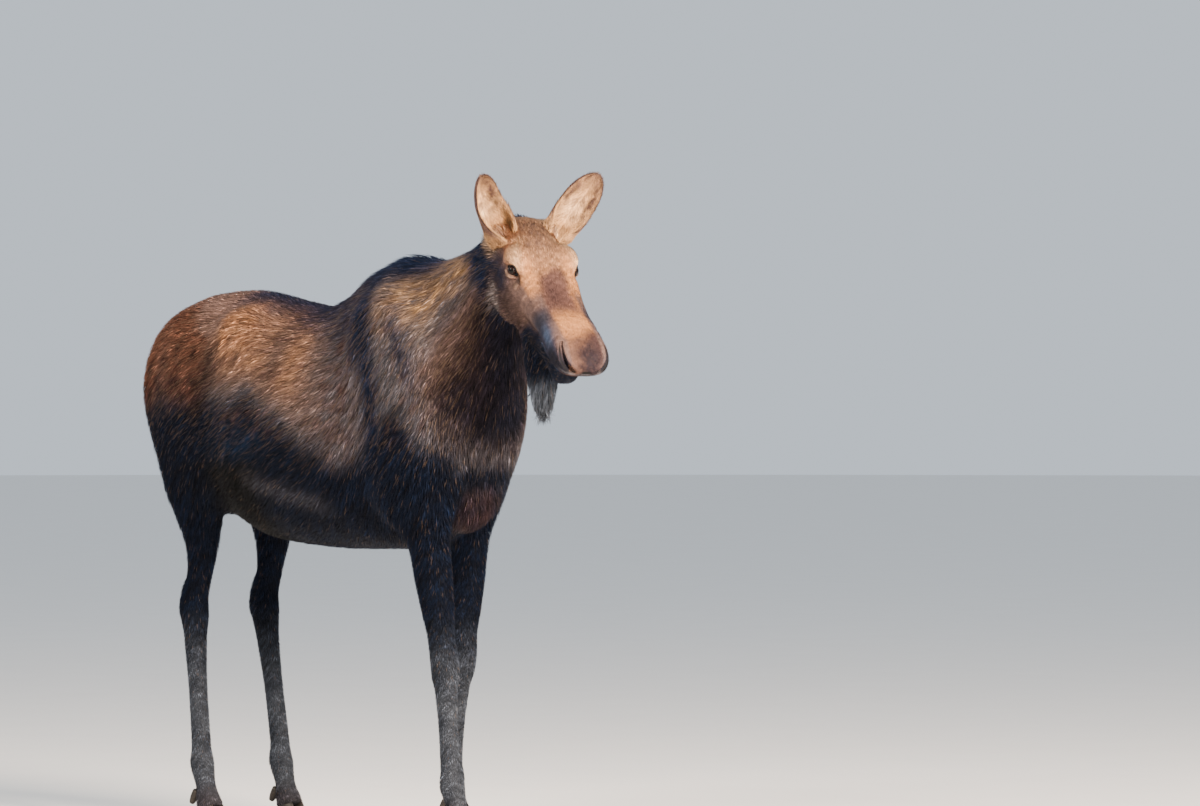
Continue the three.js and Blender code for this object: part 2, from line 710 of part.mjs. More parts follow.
// A dewclaw: a small blunt cone behind the pastern.
const DEWCLAW = [[0, 0], [9, 3], [15, 22], [15, 50], [0, 56]]; // radius and height from its tip
function dewclaw(foot, outward, grow = 0) {
  const top = new THREE.Vector3(foot[0] + outward * 20, foot[1] + 38, 128);
  const tip = new THREE.Vector3(foot[0] + outward * 26, foot[1] + 62, 82);
  const up = top.clone().sub(tip).normalize();
  const turned = new THREE.Quaternion().setFromUnitVectors(new THREE.Vector3(0, 1, 0), up);
  const profile = DEWCLAW.map(([r, h]) => new THREE.Vector2(r && r + grow, h + grow * Math.sign(h - 20)));
  const matrix = new THREE.Matrix4().compose(tip, turned, new THREE.Vector3(1, 1, 1));
  return solidOf(new THREE.LatheGeometry(profile, 7), matrix);
}

// ---------------------------------------------------------------- the animal
const COAT = new THREE.MeshStandardMaterial({ color: 0x3a2a20, roughness: 0.9 });
const FACE = new THREE.MeshStandardMaterial({ color: 0x7a5238, roughness: 0.85 });
const LEG = new THREE.MeshStandardMaterial({ color: 0x6d6259, roughness: 0.9 });
const HORN = new THREE.MeshStandardMaterial({ color: 0x1c1815, roughness: 0.55 });
const EYE = new THREE.MeshStandardMaterial({ color: 0x140c08, roughness: 0.08 });

const moose = new THREE.Group();

function addNode(name, solid, material) {
  const mesh = solid.getMesh();
  const geometry = new THREE.BufferGeometry()
    .setAttribute("position", new THREE.BufferAttribute(mesh.vertProperties, 3))
    .setIndex(new THREE.BufferAttribute(mesh.triVerts, 1));
  geometry.computeVertexNormals();
  const node = new THREE.Mesh(geometry, material);
  node.name = name;
  moose.add(node);
}

// The face keeps more of its triangles than the trunk.
const detail = ([, y, z]) => (y < -480 && z > 1350 ? 6 : z < 900 ? 1.6 : 0.7);
const net = surfaceNet(flesh, [-372, -1140, 0], [372, 1330, 2040], CELL);
let body = solidFrom(thin(net, FLESH_TRIANGLES, detail));

// Head from neck, neck from trunk.
const behindHead = fromHead(-8, 0, 0).toArray();
const headOut = headAlong.clone().addScaledVector(headUp, 0.42).toArray();
let head;
let neck;
[head, body] = part(body, [
  [behindHead, headOut],
  [[0, -455, 1640], [0, -0.9, 0.43]],
  [[0, 0, 1250], [0, 0, 1]],
]);
[neck, body] = part(body, [[[0, -215, 1600], [0, -0.86, 0.42]]]);

// The lower jaw leaves the head along the mouth, the bell leaves the throat.
const mouth = fromHead(470, 0, -124).toArray();
const mouthNormal = headUp.clone().multiplyScalar(-1).addScaledVector(headAlong, 0.06).toArray();
const jawHinge = fromHead(300, 0, 0).toArray();
let jaw;
let bell;
[bell, head] = part(head, [
  [[0, 0, BELL_TOP.z - 40], [0, 0, -1]],
  [fromHead(470, 0, -200).toArray(), ahead.clone().negate().setZ(-0.6).toArray()],
]);
[jaw, head] = part(head, [[mouth, mouthNormal], [jawHinge, headAlong.toArray()]]);

// Eyes sit in open sockets, and the nostrils are long slits at the sides of the muffle.
function ball(at, radii, lean = 0) {
  const [c, s] = [Math.cos(radians(lean)), Math.sin(radians(lean))];
  const long = headAlong.clone().multiplyScalar(c).addScaledVector(headUp, s);
  const high = headUp.clone().multiplyScalar(c).addScaledVector(headAlong, -s);
  const matrix = new THREE.Matrix4().makeBasis(long, headSide, high).setPosition(at);
  return solidOf(new THREE.SphereGeometry(1, 12, 8), matrix.scale(new THREE.Vector3(...radii)));
}
for (const [word, side] of [["left", 1], ["right", -1]]) {
  const at = fromHead(EYE_AT.along, side * EYE_AT.side, EYE_AT.up);
  addNode(`eye_${word}`, ball(at, Array(3).fill(EYE_RADIUS)), EYE);
  head = head.subtract(ball(at, Array(3).fill(EYE_RADIUS + 2 * GAP)));
  const lids = fromHead(EYE_AT.along, side * (EYE_AT.side + 22), EYE_AT.up);
  head = head.subtract(ball(lids, LID_OPENING, -8));
  const slit = fromHead(NOSTRIL_AT.along, side * NOSTRIL_AT.side, NOSTRIL_AT.up);
  head = head.subtract(ball(slit, NOSTRIL_RADII, -26));
  addNode(`ear_${word}`, ear(side), FACE);
  head = head.subtract(ear(side, GAP));
  neck = neck.subtract(ear(side, GAP));
}

// Tail and legs leave the trunk by slanted planes in armpit, groin and flank.
let tail;
[tail, body] = part(body, [
  [[0, 1231, 1480], [0, 1, -0.1]],
  [[-48, 0, 0], [1, 0, 0]],
  [[48, 0, 0], [-1, 0, 0]],
  [[0, 0, 1390], [0, 0, 1]],
]);
for (const [i, { name, side }] of LEGS.entries()) {
  const rows = legTables[i];
  const hind = i > 1;
  const slant = hind
    ? [[[side * 60, 0, 1010], [side * 1.15, 0, -1]], [[0, 760, 1050], [0, 1, -0.2]]]
    : [[[side * 88, 0, 935], [side * 1.05, 0, -1]], [[0, rows[rows.length - 1][2] + 150, 1100], [0, -1, 0]]];
  const inner = [[side * 4, 0, 0], [side, 0, 0]];
  let leg;
  [leg, body] = part(body, [...slant, inner, [[0, 0, hind ? 1500 : 1260], [0, 0, -1]]]);
  const foot = rows[1].slice(1, 3);
  const coronet = halfSpace([0, foot[1], CORONET_HEIGHT + GAP], [0, CORONET_SLOPE, 1]);
  leg = largest(leg.intersect(coronet));
  for (const [word, outward] of [["inner", -side], ["outer", side]]) {
    addNode(`hoof_${name}_${word}`, claw(foot, outward), HORN);
    addNode(`dewclaw_${name}_${word}`, dewclaw(foot, outward), HORN);
    leg = leg.subtract(dewclaw(foot, outward, GAP));
  }
  addNode(name, largest(leg), LEG);
}

addNode("trunk", body, COAT);
addNode("neck", neck, COAT);
addNode("head", largest(head), FACE);
addNode("lower_jaw", jaw, COAT);
addNode("bell", bell, COAT);
addNode("tail", tail, COAT);
moose.position.set(...ORIGIN_SHIFT);

export default moose;
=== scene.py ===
"""A standing cow moose in winter coat: skin, coat, eyes and hooves, in a plain studio.

Shapes are worked out in millimetres in the animal's own frame, x to its left, y to its rear
and z up, and go to the scene's metres when a mesh is made.
"""

import math
from contextlib import contextmanager

import bmesh
import bpy
import numpy as np
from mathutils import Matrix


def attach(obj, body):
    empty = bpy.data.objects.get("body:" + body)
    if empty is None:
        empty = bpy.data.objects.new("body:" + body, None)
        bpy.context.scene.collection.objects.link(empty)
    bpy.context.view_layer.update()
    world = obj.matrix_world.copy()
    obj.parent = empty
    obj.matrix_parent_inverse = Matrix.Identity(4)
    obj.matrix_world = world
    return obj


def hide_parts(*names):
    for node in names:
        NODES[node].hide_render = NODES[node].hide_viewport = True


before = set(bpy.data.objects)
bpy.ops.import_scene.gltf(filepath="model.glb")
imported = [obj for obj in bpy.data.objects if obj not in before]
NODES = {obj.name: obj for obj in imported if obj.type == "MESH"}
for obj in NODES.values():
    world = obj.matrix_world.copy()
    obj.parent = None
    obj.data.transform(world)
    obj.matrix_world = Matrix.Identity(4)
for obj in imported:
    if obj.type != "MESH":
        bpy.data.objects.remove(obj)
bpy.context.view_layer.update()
RNG = np.random.default_rng(11)

# ---------------------------------------------------------------- driving dimensions
ORIGIN_SHIFT = np.array([0.0, -134.0, 0.0])  # from the animal's frame to the row frame
VOXEL = 11.0  # first mesh of the skin
NEARBY = 160.0  # how far outside its box a part of the field is still worked out
SHARE_FADE = 28.0  # how gradually one part's coat and colours give way to the next part's
FLESH = ["trunk", "neck", "head", "lower_jaw", "bell", "tail"]
LEG_NAMES = ["foreleg_right", "foreleg_left", "hindleg_right", "hindleg_left"]
EARS = ["ear_left", "ear_right"]
PATCH = 0.003  # size of each tuft's patch on the unwrap
# The corners of the patch at each ring, in halves of its size.
RING_PATCHES = [[(0, -0.6), (-1, -1), (1, -1)], [(0, 0.3), (-0.8, 0), (0.8, 0)]]
MOST_TRIANGLES = 190000  # in one piece of the coat
LENS = 210.0  # mm, on a sensor of 36 mm
CAMERA_AT = (-14.30, -16.854, 1.58)  # m
CAMERA_DIP = 0.516  # degrees below level
CAMERA_HEADING = -42.0  # degrees from straight to the rear, towards the animal's left

HEAD_AT = np.array([-58.0, -560.0, 1962.0])
HEAD_TURN = math.radians(17)
HEAD_DIP = math.radians(43)
EYE_RADIUS = 19.0
EYE_AT = (211.0, 99.0, -35.0)  # along, sideways and up in the head's frame
EYE_LOOKS = (0.50, 0.74, 0.44)  # along, sideways and up
EYE_HALF_WIDTH = 21.5
LID_HEIGHTS = (12.0, 9.5)  # above and below the line through the corners
TEAR_LINE = [(234, 99, -30), (250, 95, -35), (268, 91, -43)]  # from the front corner of the eye down the face
NOSTRIL = [(566, 72, -3), (590, 78, -10), (612, 79, -19), (630, 73, -29), (643, 62, -39), (649, 51, -47)]
MOUTH_AT = (470.0, -121.0)  # along and up at the middle of the mouth line
MOUTH_SLOPE = 0.07
MOUTH_CORNER = 424.0
NOTCH_FROM = 620.0  # the notch in the upper lip starts this far along
CORONET_HEIGHT = 74.0
CORONET_SLOPE = 0.3

EAR_AT = (40.0, 99.0, -42.0)  # along, sideways and up at the ear's root
EAR_FLUFF_AT = (48.0, 112.0, -78.0)  # the middle of the fluff below it
EAR_LENGTH = 248.0
EAR_HALF_WIDTH = 59.0
EAR_WALL = 3.6
EAR_ROOT = -0.16  # how far below its root the ear runs on inside the head, as a share
EAR_INSET = 2.6  # the ear's skin lies this far inside its solid
# Each ear's axis and the way that it opens: ahead, to the animal's left, and up.
EAR_SET = {
    1: {"axis": (0.28, 0.52, 0.8), "opens": (1, -0.35, 0)},
    -1: {"axis": (0.5, -0.46, 0.8), "opens": (1, 0.3, 0)},
}

# Superellipse sections: [along, top, widest, bottom, half width, power above, power below].
TRUNK = [
    [-250, 1640, 1330, 1020, 138, 2.1, 2.1],
    [-130, 1795, 1310, 956, 206, 1.8, 2.1],
    [0, 1838, 1290, 922, 245, 1.6, 2.2],
    [150, 1812, 1270, 918, 265, 1.6, 2.3],
    [290, 1728, 1255, 916, 290, 1.8, 2.3],
    [420, 1688, 1250, 920, 308, 2.0, 2.3],
    [600, 1712, 1275, 936, 302, 2.1, 2.3],
    [800, 1744, 1340, 1005, 262, 2.0, 2.2],
    [950, 1736, 1390, 1110, 238, 2.0, 2.1],
    [1080, 1703, 1430, 1190, 214, 2.0, 2.0],
]
SKULL = [
    [-30, -30, -100, -190, 78, 2.1, 2.1],
    [30, 10, -88, -212, 97, 2.0, 2.1],
    [110, 16, -80, -222, 112, 2.2, 2.1],
    [200, 8, -72, -212, 108, 2.6, 2.1],
    [280, -2, -54, -178, 101, 2.8, 2.1],
    [360, -8, -48, -146, 92, 2.8, 2.0],
    [430, -3, -48, -132, 87, 2.6, 1.8],
    [500, 8, -50, -126, 90, 2.6, 1.8],
    [560, 6, -50, -118, 85, 2.4, 1.8],
    [602, -6, -46, -92, 76, 2.3, 2.0],
]
MANDIBLE = [
    [150, -110, -180, -256, 66, 2.0, 2.2],
    [240, -110, -170, -240, 60, 2.0, 2.2],
    [320, -110, -160, -214, 53, 2.0, 2.2],
    [400, -112, -154, -196, 49, 2.0, 2.2],
    [470, -114, -154, -190, 46, 2.0, 2.2],
    [545, -114, -152, -191, 44, 2.0, 2.3],
]
NECK_AT = (0.0, -60.0, 1500.0)
NECK_RISE = math.radians(35)
NECK_BEND = -52.0
NECK = [
    [0, 300, -20, -420, 200, 2.0, 2.1],
    [100, 296, -30, -385, 190, 2.0, 2.1],
    [180, 248, -40, -335, 168, 2.0, 2.1],
    [262, 206, -30, -276, 146, 2.0, 2.1],
    [331, 188, -10, -215, 132, 2.1, 2.1],
    [403, 160, 0, -160, 120, 2.2, 2.1],
    [480, 140, 0, -118, 108, 2.2, 2.1],
    [566, 122, 0, -92, 98, 2.2, 2.1],
]
# Limbs: [z, x, y, half width, half depth] down each leg, for the animal's left side.
FORELEG = [
    [1180, 180, -160, 74, 110],
    [1050, 172, -156, 68, 102],
    [930, 160, -165, 57, 80],
    [830, 154, -172, 54, 72],
    [735, 150, -180, 49, 61],
    [650, 147, -186, 43, 50],
    [590, 145, -191, 45, 51],
    [545, 144, -191, 44, 50],
    [490, 143, -188, 35, 41],
    [370, 141, -186, 30, 35],
    [250, 139, -186, 31, 37],
    [195, 138, -190, 39, 44],
    [135, 138, -208, 34, 36],
    [84, 138, -226, 42, 47],
    [30, 138, -240, 44, 50],
]
HINDLEG = [
    [1420, 138, 910, 96, 212],
    [1250, 166, 908, 92, 196],
    [1090, 170, 914, 74, 140],
    [1000, 160, 910, 59, 99],
    [915, 152, 906, 48, 66],
    [830, 147, 922, 40, 51],
    [765, 144, 940, 38, 48],
    [700, 142, 952, 42, 56],
    [620, 141, 948, 36, 45],
    [430, 140, 930, 30, 36],
    [270, 139, 914, 31, 38],
    [212, 138, 910, 39, 44],
    [145, 138, 892, 34, 36],
    [86, 138, 872, 42, 47],
    [30, 138, 858, 44, 50],
]
# Each leg's side, rows, and its shift to the rear at the hoof and at the elbow or stifle.
LEGS = [(-1, FORELEG, -120, -60), (1, FORELEG, 205, 125), (-1, HINDLEG, 18, 0), (1, HINDLEG, -50, 35)]
TAIL = [[1425, 0, 1262, 18, 15], [1490, 0, 1254, 28, 22], [1560, 0, 1200, 34, 30]]


# ---------------------------------------------------------------- small mathematics
def rise(v, low, high):
    """Goes smoothly from 0 at low to 1 at high."""
    t = np.clip((v - low) / (high - low), 0, 1)
    return t * t * (3 - 2 * t)


def fall(v, low, high):
    """Goes smoothly from 1 at low to 0 at high."""
    return 1 - rise(v, low, high)


def band(v, low, full, fading, gone):
    """Rises from 0 at low to 1 at full, and falls from 1 at fading to 0 at gone."""
    return rise(v, low, full) * fall(v, fading, gone)


def hill(v, middle, width):
    """1 at the middle, and about a third at the width to each side."""
    return np.exp(-(((v - middle) / width) ** 2))


def mix(a, b, t):
    return a + (b - a) * t


def length_of(v):
    return np.linalg.norm(v, axis=-1)


def unit(v):
    return v / np.maximum(length_of(v)[..., None], 1e-9)


def dots(a, b):
    return (a * b).sum(-1)


def blend(a, b, k):
    """Smooth union of two distances."""
    h = np.maximum(k - np.abs(a - b), 0) / k
    return np.minimum(a, b) - h * h * k / 4


def carve(a, b, k):
    return -blend(-a, b, k)


def ripple(p, wavelength, seed):
    """Smooth noise of about -1 to 1, a sum of plane waves in seeded directions."""
    rng = np.random.default_rng(seed)
    total = np.zeros(len(p))
    for _ in range(7):
        k = unit(rng.normal(size=3)) * 2 * np.pi / (wavelength * rng.uniform(0.7, 1.5))
        total += np.sin(p @ k + rng.uniform(0, 6.28))
    return total / 3


def curve(rows, at):
    """The columns after the first at each place, on a smooth curve with no overshoot."""
    rows = np.asarray(rows, float)
    t, v = rows[:, 0], rows[:, 1:]
    secant = np.diff(v, axis=0) / np.diff(t)[:, None]
    p, q = secant[:-1], secant[1:]
    inner = np.where(p * q > 0, 2 * p * q / np.where(p * q > 0, p + q, 1), 0)
    slope = np.vstack([secant[:1], inner, secant[-1:]])
    x = np.clip(at, t[0], t[-1])
    i = np.clip(np.searchsorted(t, x, "right") - 1, 0, len(t) - 2)
    h = (t[i + 1] - t[i])[:, None]
    s = (x - t[i])[:, None] / h
    steep = slope[i] * (s**3 - 2 * s**2 + s) + slope[i + 1] * (s**3 - s**2)
    return (v[i] * (2 * s**3 - 3 * s**2 + 1) + v[i + 1] * (3 * s**2 - 2 * s**3) + h * steep).T


def section_body(rows, caps, along, side, up):
    """Distance to a body of superellipse sections, with rounded ends."""
    top, widest, bottom, half_width, power_up, power_down = curve(rows, along)
    above = up > widest
    half_height = np.where(above, top - widest, widest - bottom)
    n = np.where(above, power_up, power_down)
    p = np.abs(side) / half_width + 1e-6
    q = np.abs(up - widest) / half_height + 1e-6
    rho = (p**n + q**n) ** (1 / n)
    gp = (p / rho) ** (n - 1) / half_width
    gq = (q / rho) ** (n - 1) / half_height
    before, after = rows[0][0] - along, along - rows[-1][0]
    cap = np.where(before > 0, caps[0], caps[1])
    past = np.maximum(np.maximum(before, after), 0) / cap
    total = np.hypot(rho, past)
    slope = np.sqrt((rho * gp) ** 2 + (rho * gq) ** 2 + (past / cap) ** 2) / total
    return (total - 1) / np.maximum(slope, 1e-4)


def limb(rows, cap, x, y, z):
    """Distance to a limb of upright rows, each an ellipse level with the ground."""
    cx, cy, half_width, half_depth = curve(rows, z)
    p = (x - cx) / half_width
    q = (y - cy) / half_depth
    above, below = z - rows[-1][0], rows[0][0] - z
    past = np.where(above > 0, above / cap, np.maximum(below, 0) / half_width)
    total = np.sqrt(p * p + q * q + past * past) + 1e-6
    slope = np.sqrt((p / half_width) ** 2 + (q / half_depth) ** 2 + (past / cap) ** 2) / total
    return (total - 1) / np.maximum(slope, 1 / np.maximum(half_width, half_depth))


def ellipsoid(x, y, z, centre, radii, tilt=0.0):
    """Distance to an ellipsoid whose long axes lean by tilt degrees in the side view."""
    c, s = math.cos(math.radians(tilt)), math.sin(math.radians(tilt))
    px, dy, dz = x - centre[0], y - centre[1], z - centre[2]
    py, pz = c * dy + s * dz, c * dz - s * dy
    rx, ry, rz = radii
    k0 = np.sqrt((px / rx) ** 2 + (py / ry) ** 2 + (pz / rz) ** 2)
    k1 = np.sqrt((px / rx**2) ** 2 + (py / ry**2) ** 2 + (pz / rz**2) ** 2)
    return k0 * (k0 - 1) / np.maximum(k1, 1e-9)


# ---------------------------------------------------------------- frames
AHEAD = np.array([-math.sin(HEAD_TURN), -math.cos(HEAD_TURN), 0.0])
HEAD_ALONG = AHEAD * math.cos(HEAD_DIP) - [0, 0, math.sin(HEAD_DIP)]
HEAD_SIDE = np.array([math.cos(HEAD_TURN), -math.sin(HEAD_TURN), 0.0])
HEAD_UP = AHEAD * math.sin(HEAD_DIP) + [0, 0, math.cos(HEAD_DIP)]
HEAD_AXES = np.stack([HEAD_ALONG, HEAD_SIDE, HEAD_UP])


def in_head(p):
    """Along from poll to nose, side to the animal's left, and up out of the face."""
    return (p - HEAD_AT) @ HEAD_AXES.T


def from_head(q):
    return HEAD_AT + np.asarray(q, float) @ HEAD_AXES


def on_side(q, side):
    """A place of the left side of the head, or its mirror image on the right."""
    return from_head(np.array(q) * [1, side, 1])


def to_scene(p):
    return (p + ORIGIN_SHIFT) * 0.001


def from_scene(p):
    return p * 1000.0 - ORIGIN_SHIFT


# ---------------------------------------------------------------- the flesh
def leg_rows(side, rows, foot, top):
    high = rows[1][0]
    made = []
    for z, x, y, half_width, half_depth in reversed(rows):
        down = rise(high - z, 0, high - CORONET_HEIGHT)
        made.append([z, side * x, y + mix(top, foot, down), half_width, half_depth])
    return made


LEG_TABLES = [leg_rows(*leg) for leg in LEGS]
BELL_TOP = from_head((370, 0, -190))
BELL = [
    [1366, BELL_TOP[0], BELL_TOP[1] + 6, 24, 40],
    [1430, BELL_TOP[0], BELL_TOP[1] + 8, 31, 60],
    [1520, BELL_TOP[0], BELL_TOP[1] + 8, 38, 80],
    [1600, BELL_TOP[0], BELL_TOP[1] + 6, 44, 92],
]


def trunk_field(p):
    x, y, z = p.T
    ax = np.abs(x)
    back = np.where(x > 0, 1, 0)  # the left shoulder is drawn back with its leg
    d = section_body(TRUNK, (80, 150), y, x, z)
    blade = ellipsoid(ax, y, z, (172, -75, 1480), (82, 150, 260), -18)
    shoulder = ellipsoid(ax, y, z, (160 - 12 * back, -228 + 110 * back, 1265), (80, 104, 150))
    upper_arm = ellipsoid(ax, y, z, (184, -130 + 105 * back, 1150), (74, 126, 140))
    brisket = ellipsoid(x, y, z, (-20, -238, 1085), (84, 82, 108))
    hip = ellipsoid(ax, y, z, (185, 650, 1590), (62, 95, 75))
    rump = ellipsoid(ax, y, z, (130, 915, 1410), (112, 222, 260))
    for part, width in ((blade, 90), (shoulder, 90), (upper_arm, 80), (brisket, 60), (hip, 110), (rump, 100)):
        d = blend(d, part, width)
    return d


def leg_field(p):
    x, y, z = p.T
    nearest = np.full(len(p), 1e6)
    for (side, rows, foot, top), table in zip(LEGS, LEG_TABLES):
        d = limb(table, 90, x, y, z)
        if rows is HINDLEG:
            hock = ellipsoid(x, y, z, (side * 142, 992 + mix(top, foot, 0.4), 752), (22, 24, 64), 14)
            stifle = ellipsoid(x, y, z, (side * 172, 805 + top, 1185), (70, 92, 122), 20)
            d = blend(blend(d, hock, 36), stifle, 80)
        else:
            d = blend(d, ellipsoid(x, y, z, (side * 170, -70 + top, 1065), (46, 54, 66)), 60)
        nearest = np.minimum(nearest, np.where(side * x < -60, 1e6, d))
    return nearest


def head_field(p):
    along, side, up = in_head(p).T
    a = np.abs(side)
    d = section_body(SKULL, (40, 55), along, side, up)
    d = blend(d, section_body(MANDIBLE, (50, 30), along, side, up), 34)
    d = blend(d, ellipsoid(a, along, up, (66, 185, -140), (42, 112, 92)), 50)
    d = blend(d, ellipsoid(a, along, up, (82, 178, -14), (38, 50, 32)), 36)
    d = carve(d, ellipsoid(a, along, up, (130, 236, -42), (34, 50, 26)), 16)
    d = blend(d, ellipsoid(a, along, up, (44, 572, -46), (44, 68, 46)), 30)
    return blend(d, ellipsoid(a, along, up, (74, 18, -56), (36, 44, 40)), 36)


def neck_place(p):
    """Along the neck, sideways from its bent middle, and up, in the neck's own frame."""
    c, s = math.cos(NECK_RISE), math.sin(NECK_RISE)
    dy, dz = NECK_AT[1] - p[:, 1], p[:, 2] - NECK_AT[2]
    along = c * dy + s * dz
    return along, p[:, 0] - NECK_BEND * rise(along, 60, 620), c * dz - s * dy


def neck_field(p):
    return section_body(NECK, (80, 70), *neck_place(p))


def near(low, high, field, p):
    """Runs a part of the field only near its box, and gives a far distance elsewhere."""
    far = length_of(np.maximum(np.maximum(low - p, p - high), 0))
    close = far <= NEARBY
    far[close] = field(p[close])
    return far


PARTS = {
    "trunk": ((-330, -360, 900), (330, 1260, 1860), trunk_field),
    "neck": ((-230, -620, 1180), (230, 260, 1990), neck_field),
    "legs": ((-290, -400, 0), (290, 1120, 1600), leg_field),
    "head": ((-370, -1110, 1400), (160, -500, 2010), head_field),
    "bell": ((-170, -840, 1320), (20, -560, 1650), lambda p: limb(BELL, 60, *p.T)),
    "tail": ((-60, 1150, 1380), (60, 1310, 1620), lambda p: limb(TAIL, 50, *p.T)),
}
BLENDS = {"neck": 130, "legs": 70, "head": 60, "bell": 40, "tail": 34}


def flesh_parts(p):
    return {name: near(np.array(a), np.array(b), f, p) for name, (a, b, f) in PARTS.items()}


def flesh(parts):
    d = parts["trunk"]
    for name, width in BLENDS.items():
        d = blend(d, parts[name], width)
    return d


def shares(parts):
    """How much each point belongs to each part, as weights that add up to 1."""
    near_by = np.minimum.reduce(list(parts.values()))
    weights = {name: np.exp(-(d - near_by) / SHARE_FADE) for name, d in parts.items()}
    total = sum(weights.values())
    return {name: w / total for name, w in weights.items()}


def by_share(share, trunk, neck, legs, head, bell, tail):
    """Adds up what the parts say, one number or one row for each place, by their shares."""
    said = {"trunk": trunk, "neck": neck, "legs": legs, "head": head, "bell": bell, "tail": tail}
    return sum((share[name][:, None] if np.ndim(v) == 2 else share[name]) * v for name, v in said.items())


def trunk_height(p):
    """0 at the belly line and 1 at the ridge of the back, above each place along the trunk."""
    top, _, bottom, *_ = curve(TRUNK, p[:, 1])
    return (p[:, 2] - bottom) / (top - bottom)


def neck_height(p):
    along, _, up = neck_place(p)
    top, _, bottom, *_ = curve(NECK, along)
    return (up - bottom) / (top - bottom)


def ridge(p):
    """1 along the crest of the hump and of the neck's back, fading down the sides."""
    on_trunk = rise(trunk_height(p), 0.84, 0.98) * hill(p[:, 1], -60, 330)
    _, side, _ = neck_place(p)
    on_neck = rise(neck_height(p), 0.72, 0.98) * hill(side, 0, 95) * rise(-p[:, 1], 60, 240)
    return np.clip(np.maximum(on_trunk * hill(p[:, 0], 0, 120), on_neck), 0, 1)


# ---------------------------------------------------------------- the coat's build
def face_zones(q):
    """The short hair of the muzzle and the long hair of the jowl, each from 0 to 1."""
    along, _, up = q.T
    return rise(along, 120, 330), rise(-up, 90, 190) * fall(along, 240, 420)


def coat_depth(p, share):
    """How far the skin lies inside the tips of the coat."""
    z = p[:, 2]
    muzzle, jowl = face_zones(in_head(p))
    body = 14.0 + 13.0 * ridge(p)
    leg = 4.0 + 3.0 * rise(z, 420, 760) + 9.0 * rise(z, 800, 1080)
    face = 3.0 + 3.5 * (1 - muzzle) + 5.0 * jowl
    return by_share(share, body, body, leg, face, 11.0, 7.0)


def eye_frame(side):
    """The eye's middle and its axes: towards the nose, up the face, and out."""
    centre = on_side(EYE_AT, side)
    out = unit(np.array(EYE_LOOKS) * [1, side, 1])
    front = np.array([0.93, -0.35 * side, 0.02])
    front = unit(front - out * dots(front, out))
    up = np.cross(front, out) * side
    return centre, np.stack([front, up, out]) @ HEAD_AXES


EYE_FRAMES = {side: eye_frame(side) for side in (-1, 1)}


def lid_gap(h, v):
    """Below 0 in the almond between the lids, and else about how far from its edge."""
    arch = 1 - (h / EYE_HALF_WIDTH) ** 2
    return np.maximum(v - LID_HEIGHTS[0] * arch, -LID_HEIGHTS[1] * arch - v)


def lid_distance(p):
    """How far each place on the skin lies outside the opening of the nearest eye's lids."""
    away = np.full(len(p), 1e3)
    for centre, axes in EYE_FRAMES.values():
        h, v, out = ((p - centre) @ axes.T).T
        close = (np.abs(h) < 40) & (np.abs(v) < 40) & (out > -4)
        away = np.where(close, lid_gap(h, v), away)
    return away


def line_distance(q, points):
    """Distance from each point to a line through the given points."""
    points = np.asarray(points, float)
    best = np.full(len(q), 1e6)
    for a, b in zip(points[:-1], points[1:]):
        t = np.clip((q - a) @ (b - a) / ((b - a) @ (b - a)), 0, 1)
        best = np.minimum(best, length_of(q - a - t[:, None] * (b - a)))
    return best


def mouth_gap(q):
    """Signed height above the mouth line, and how much of a mouth there is at each place."""
    height = q[:, 2] - MOUTH_AT[1] - MOUTH_SLOPE * (q[:, 0] - MOUTH_AT[0])
    return height, rise(q[:, 0], MOUTH_CORNER - 14, MOUTH_CORNER + 26)


def mirrored(q):
    """Places in the head's frame, with both sides laid on the left one."""
    return np.stack([q[:, 0], np.abs(q[:, 1]), q[:, 2]], 1)


def nostril_gap(q):
    """Below 0 in a nostril, a comma that widens to the front, and else about how far from it."""
    flat = np.array([1, 0.45, 1])
    half_width = mix(2.4, 6.5, rise(q[:, 0], 566, 640))
    return line_distance(mirrored(q) * flat, np.array(NOSTRIL) * flat) - half_width


def lip_notch(q):
    """Below 1 in the small bare notch at the front of the upper lip."""
    return np.hypot(q[:, 1] / 15, (q[:, 2] + 50) / 6)


def head_relief(q):
    """Folds, lips and nostrils: how far the skin stands out from the plain head, in mm."""
    m = mirrored(q)
    along, side, up = m.T
    gap = nostril_gap(q)
    rim = 3.6 * hill(gap, 6, 5) * rise(along, 556, 590)
    slit = -16.0 * fall(gap, -3, 2.5)
    height, open_mouth = mouth_gap(q)
    lips = 3.0 * hill(height, 11, 9) + 2.6 * hill(height, -10, 8)
    mouth = open_mouth * (lips - 11.0 * np.exp(-((height / 3.4) ** 2)))
    crest_line = -58 - 0.05 * (along - 250)
    crest = 3.0 * hill(up, crest_line, 13) * band(along, 225, 270, 350, 430)
    hollow = -3.0 * hill(up, -36, 18) * hill(along, 345, 60)
    tear = -2.6 * hill(line_distance(m, TEAR_LINE), 0, 4)
    fold = line_distance(m, [(520, 86, -20), (540, 92, -60), (530, 84, -100)])
    folds = 1.5 * np.sin(fold / 5.0) * hill(fold, 0, 26)
    nose = -0.9 * hill(side, 0, 9) * rise(along, 575, 630)
    wrinkles = 0.7 * np.sin(gap / 2.2) * hill(gap, 12, 8) * rise(along, 545, 580)
    return rim + slit + mouth + crest + hollow + tear + folds + nose + wrinkles


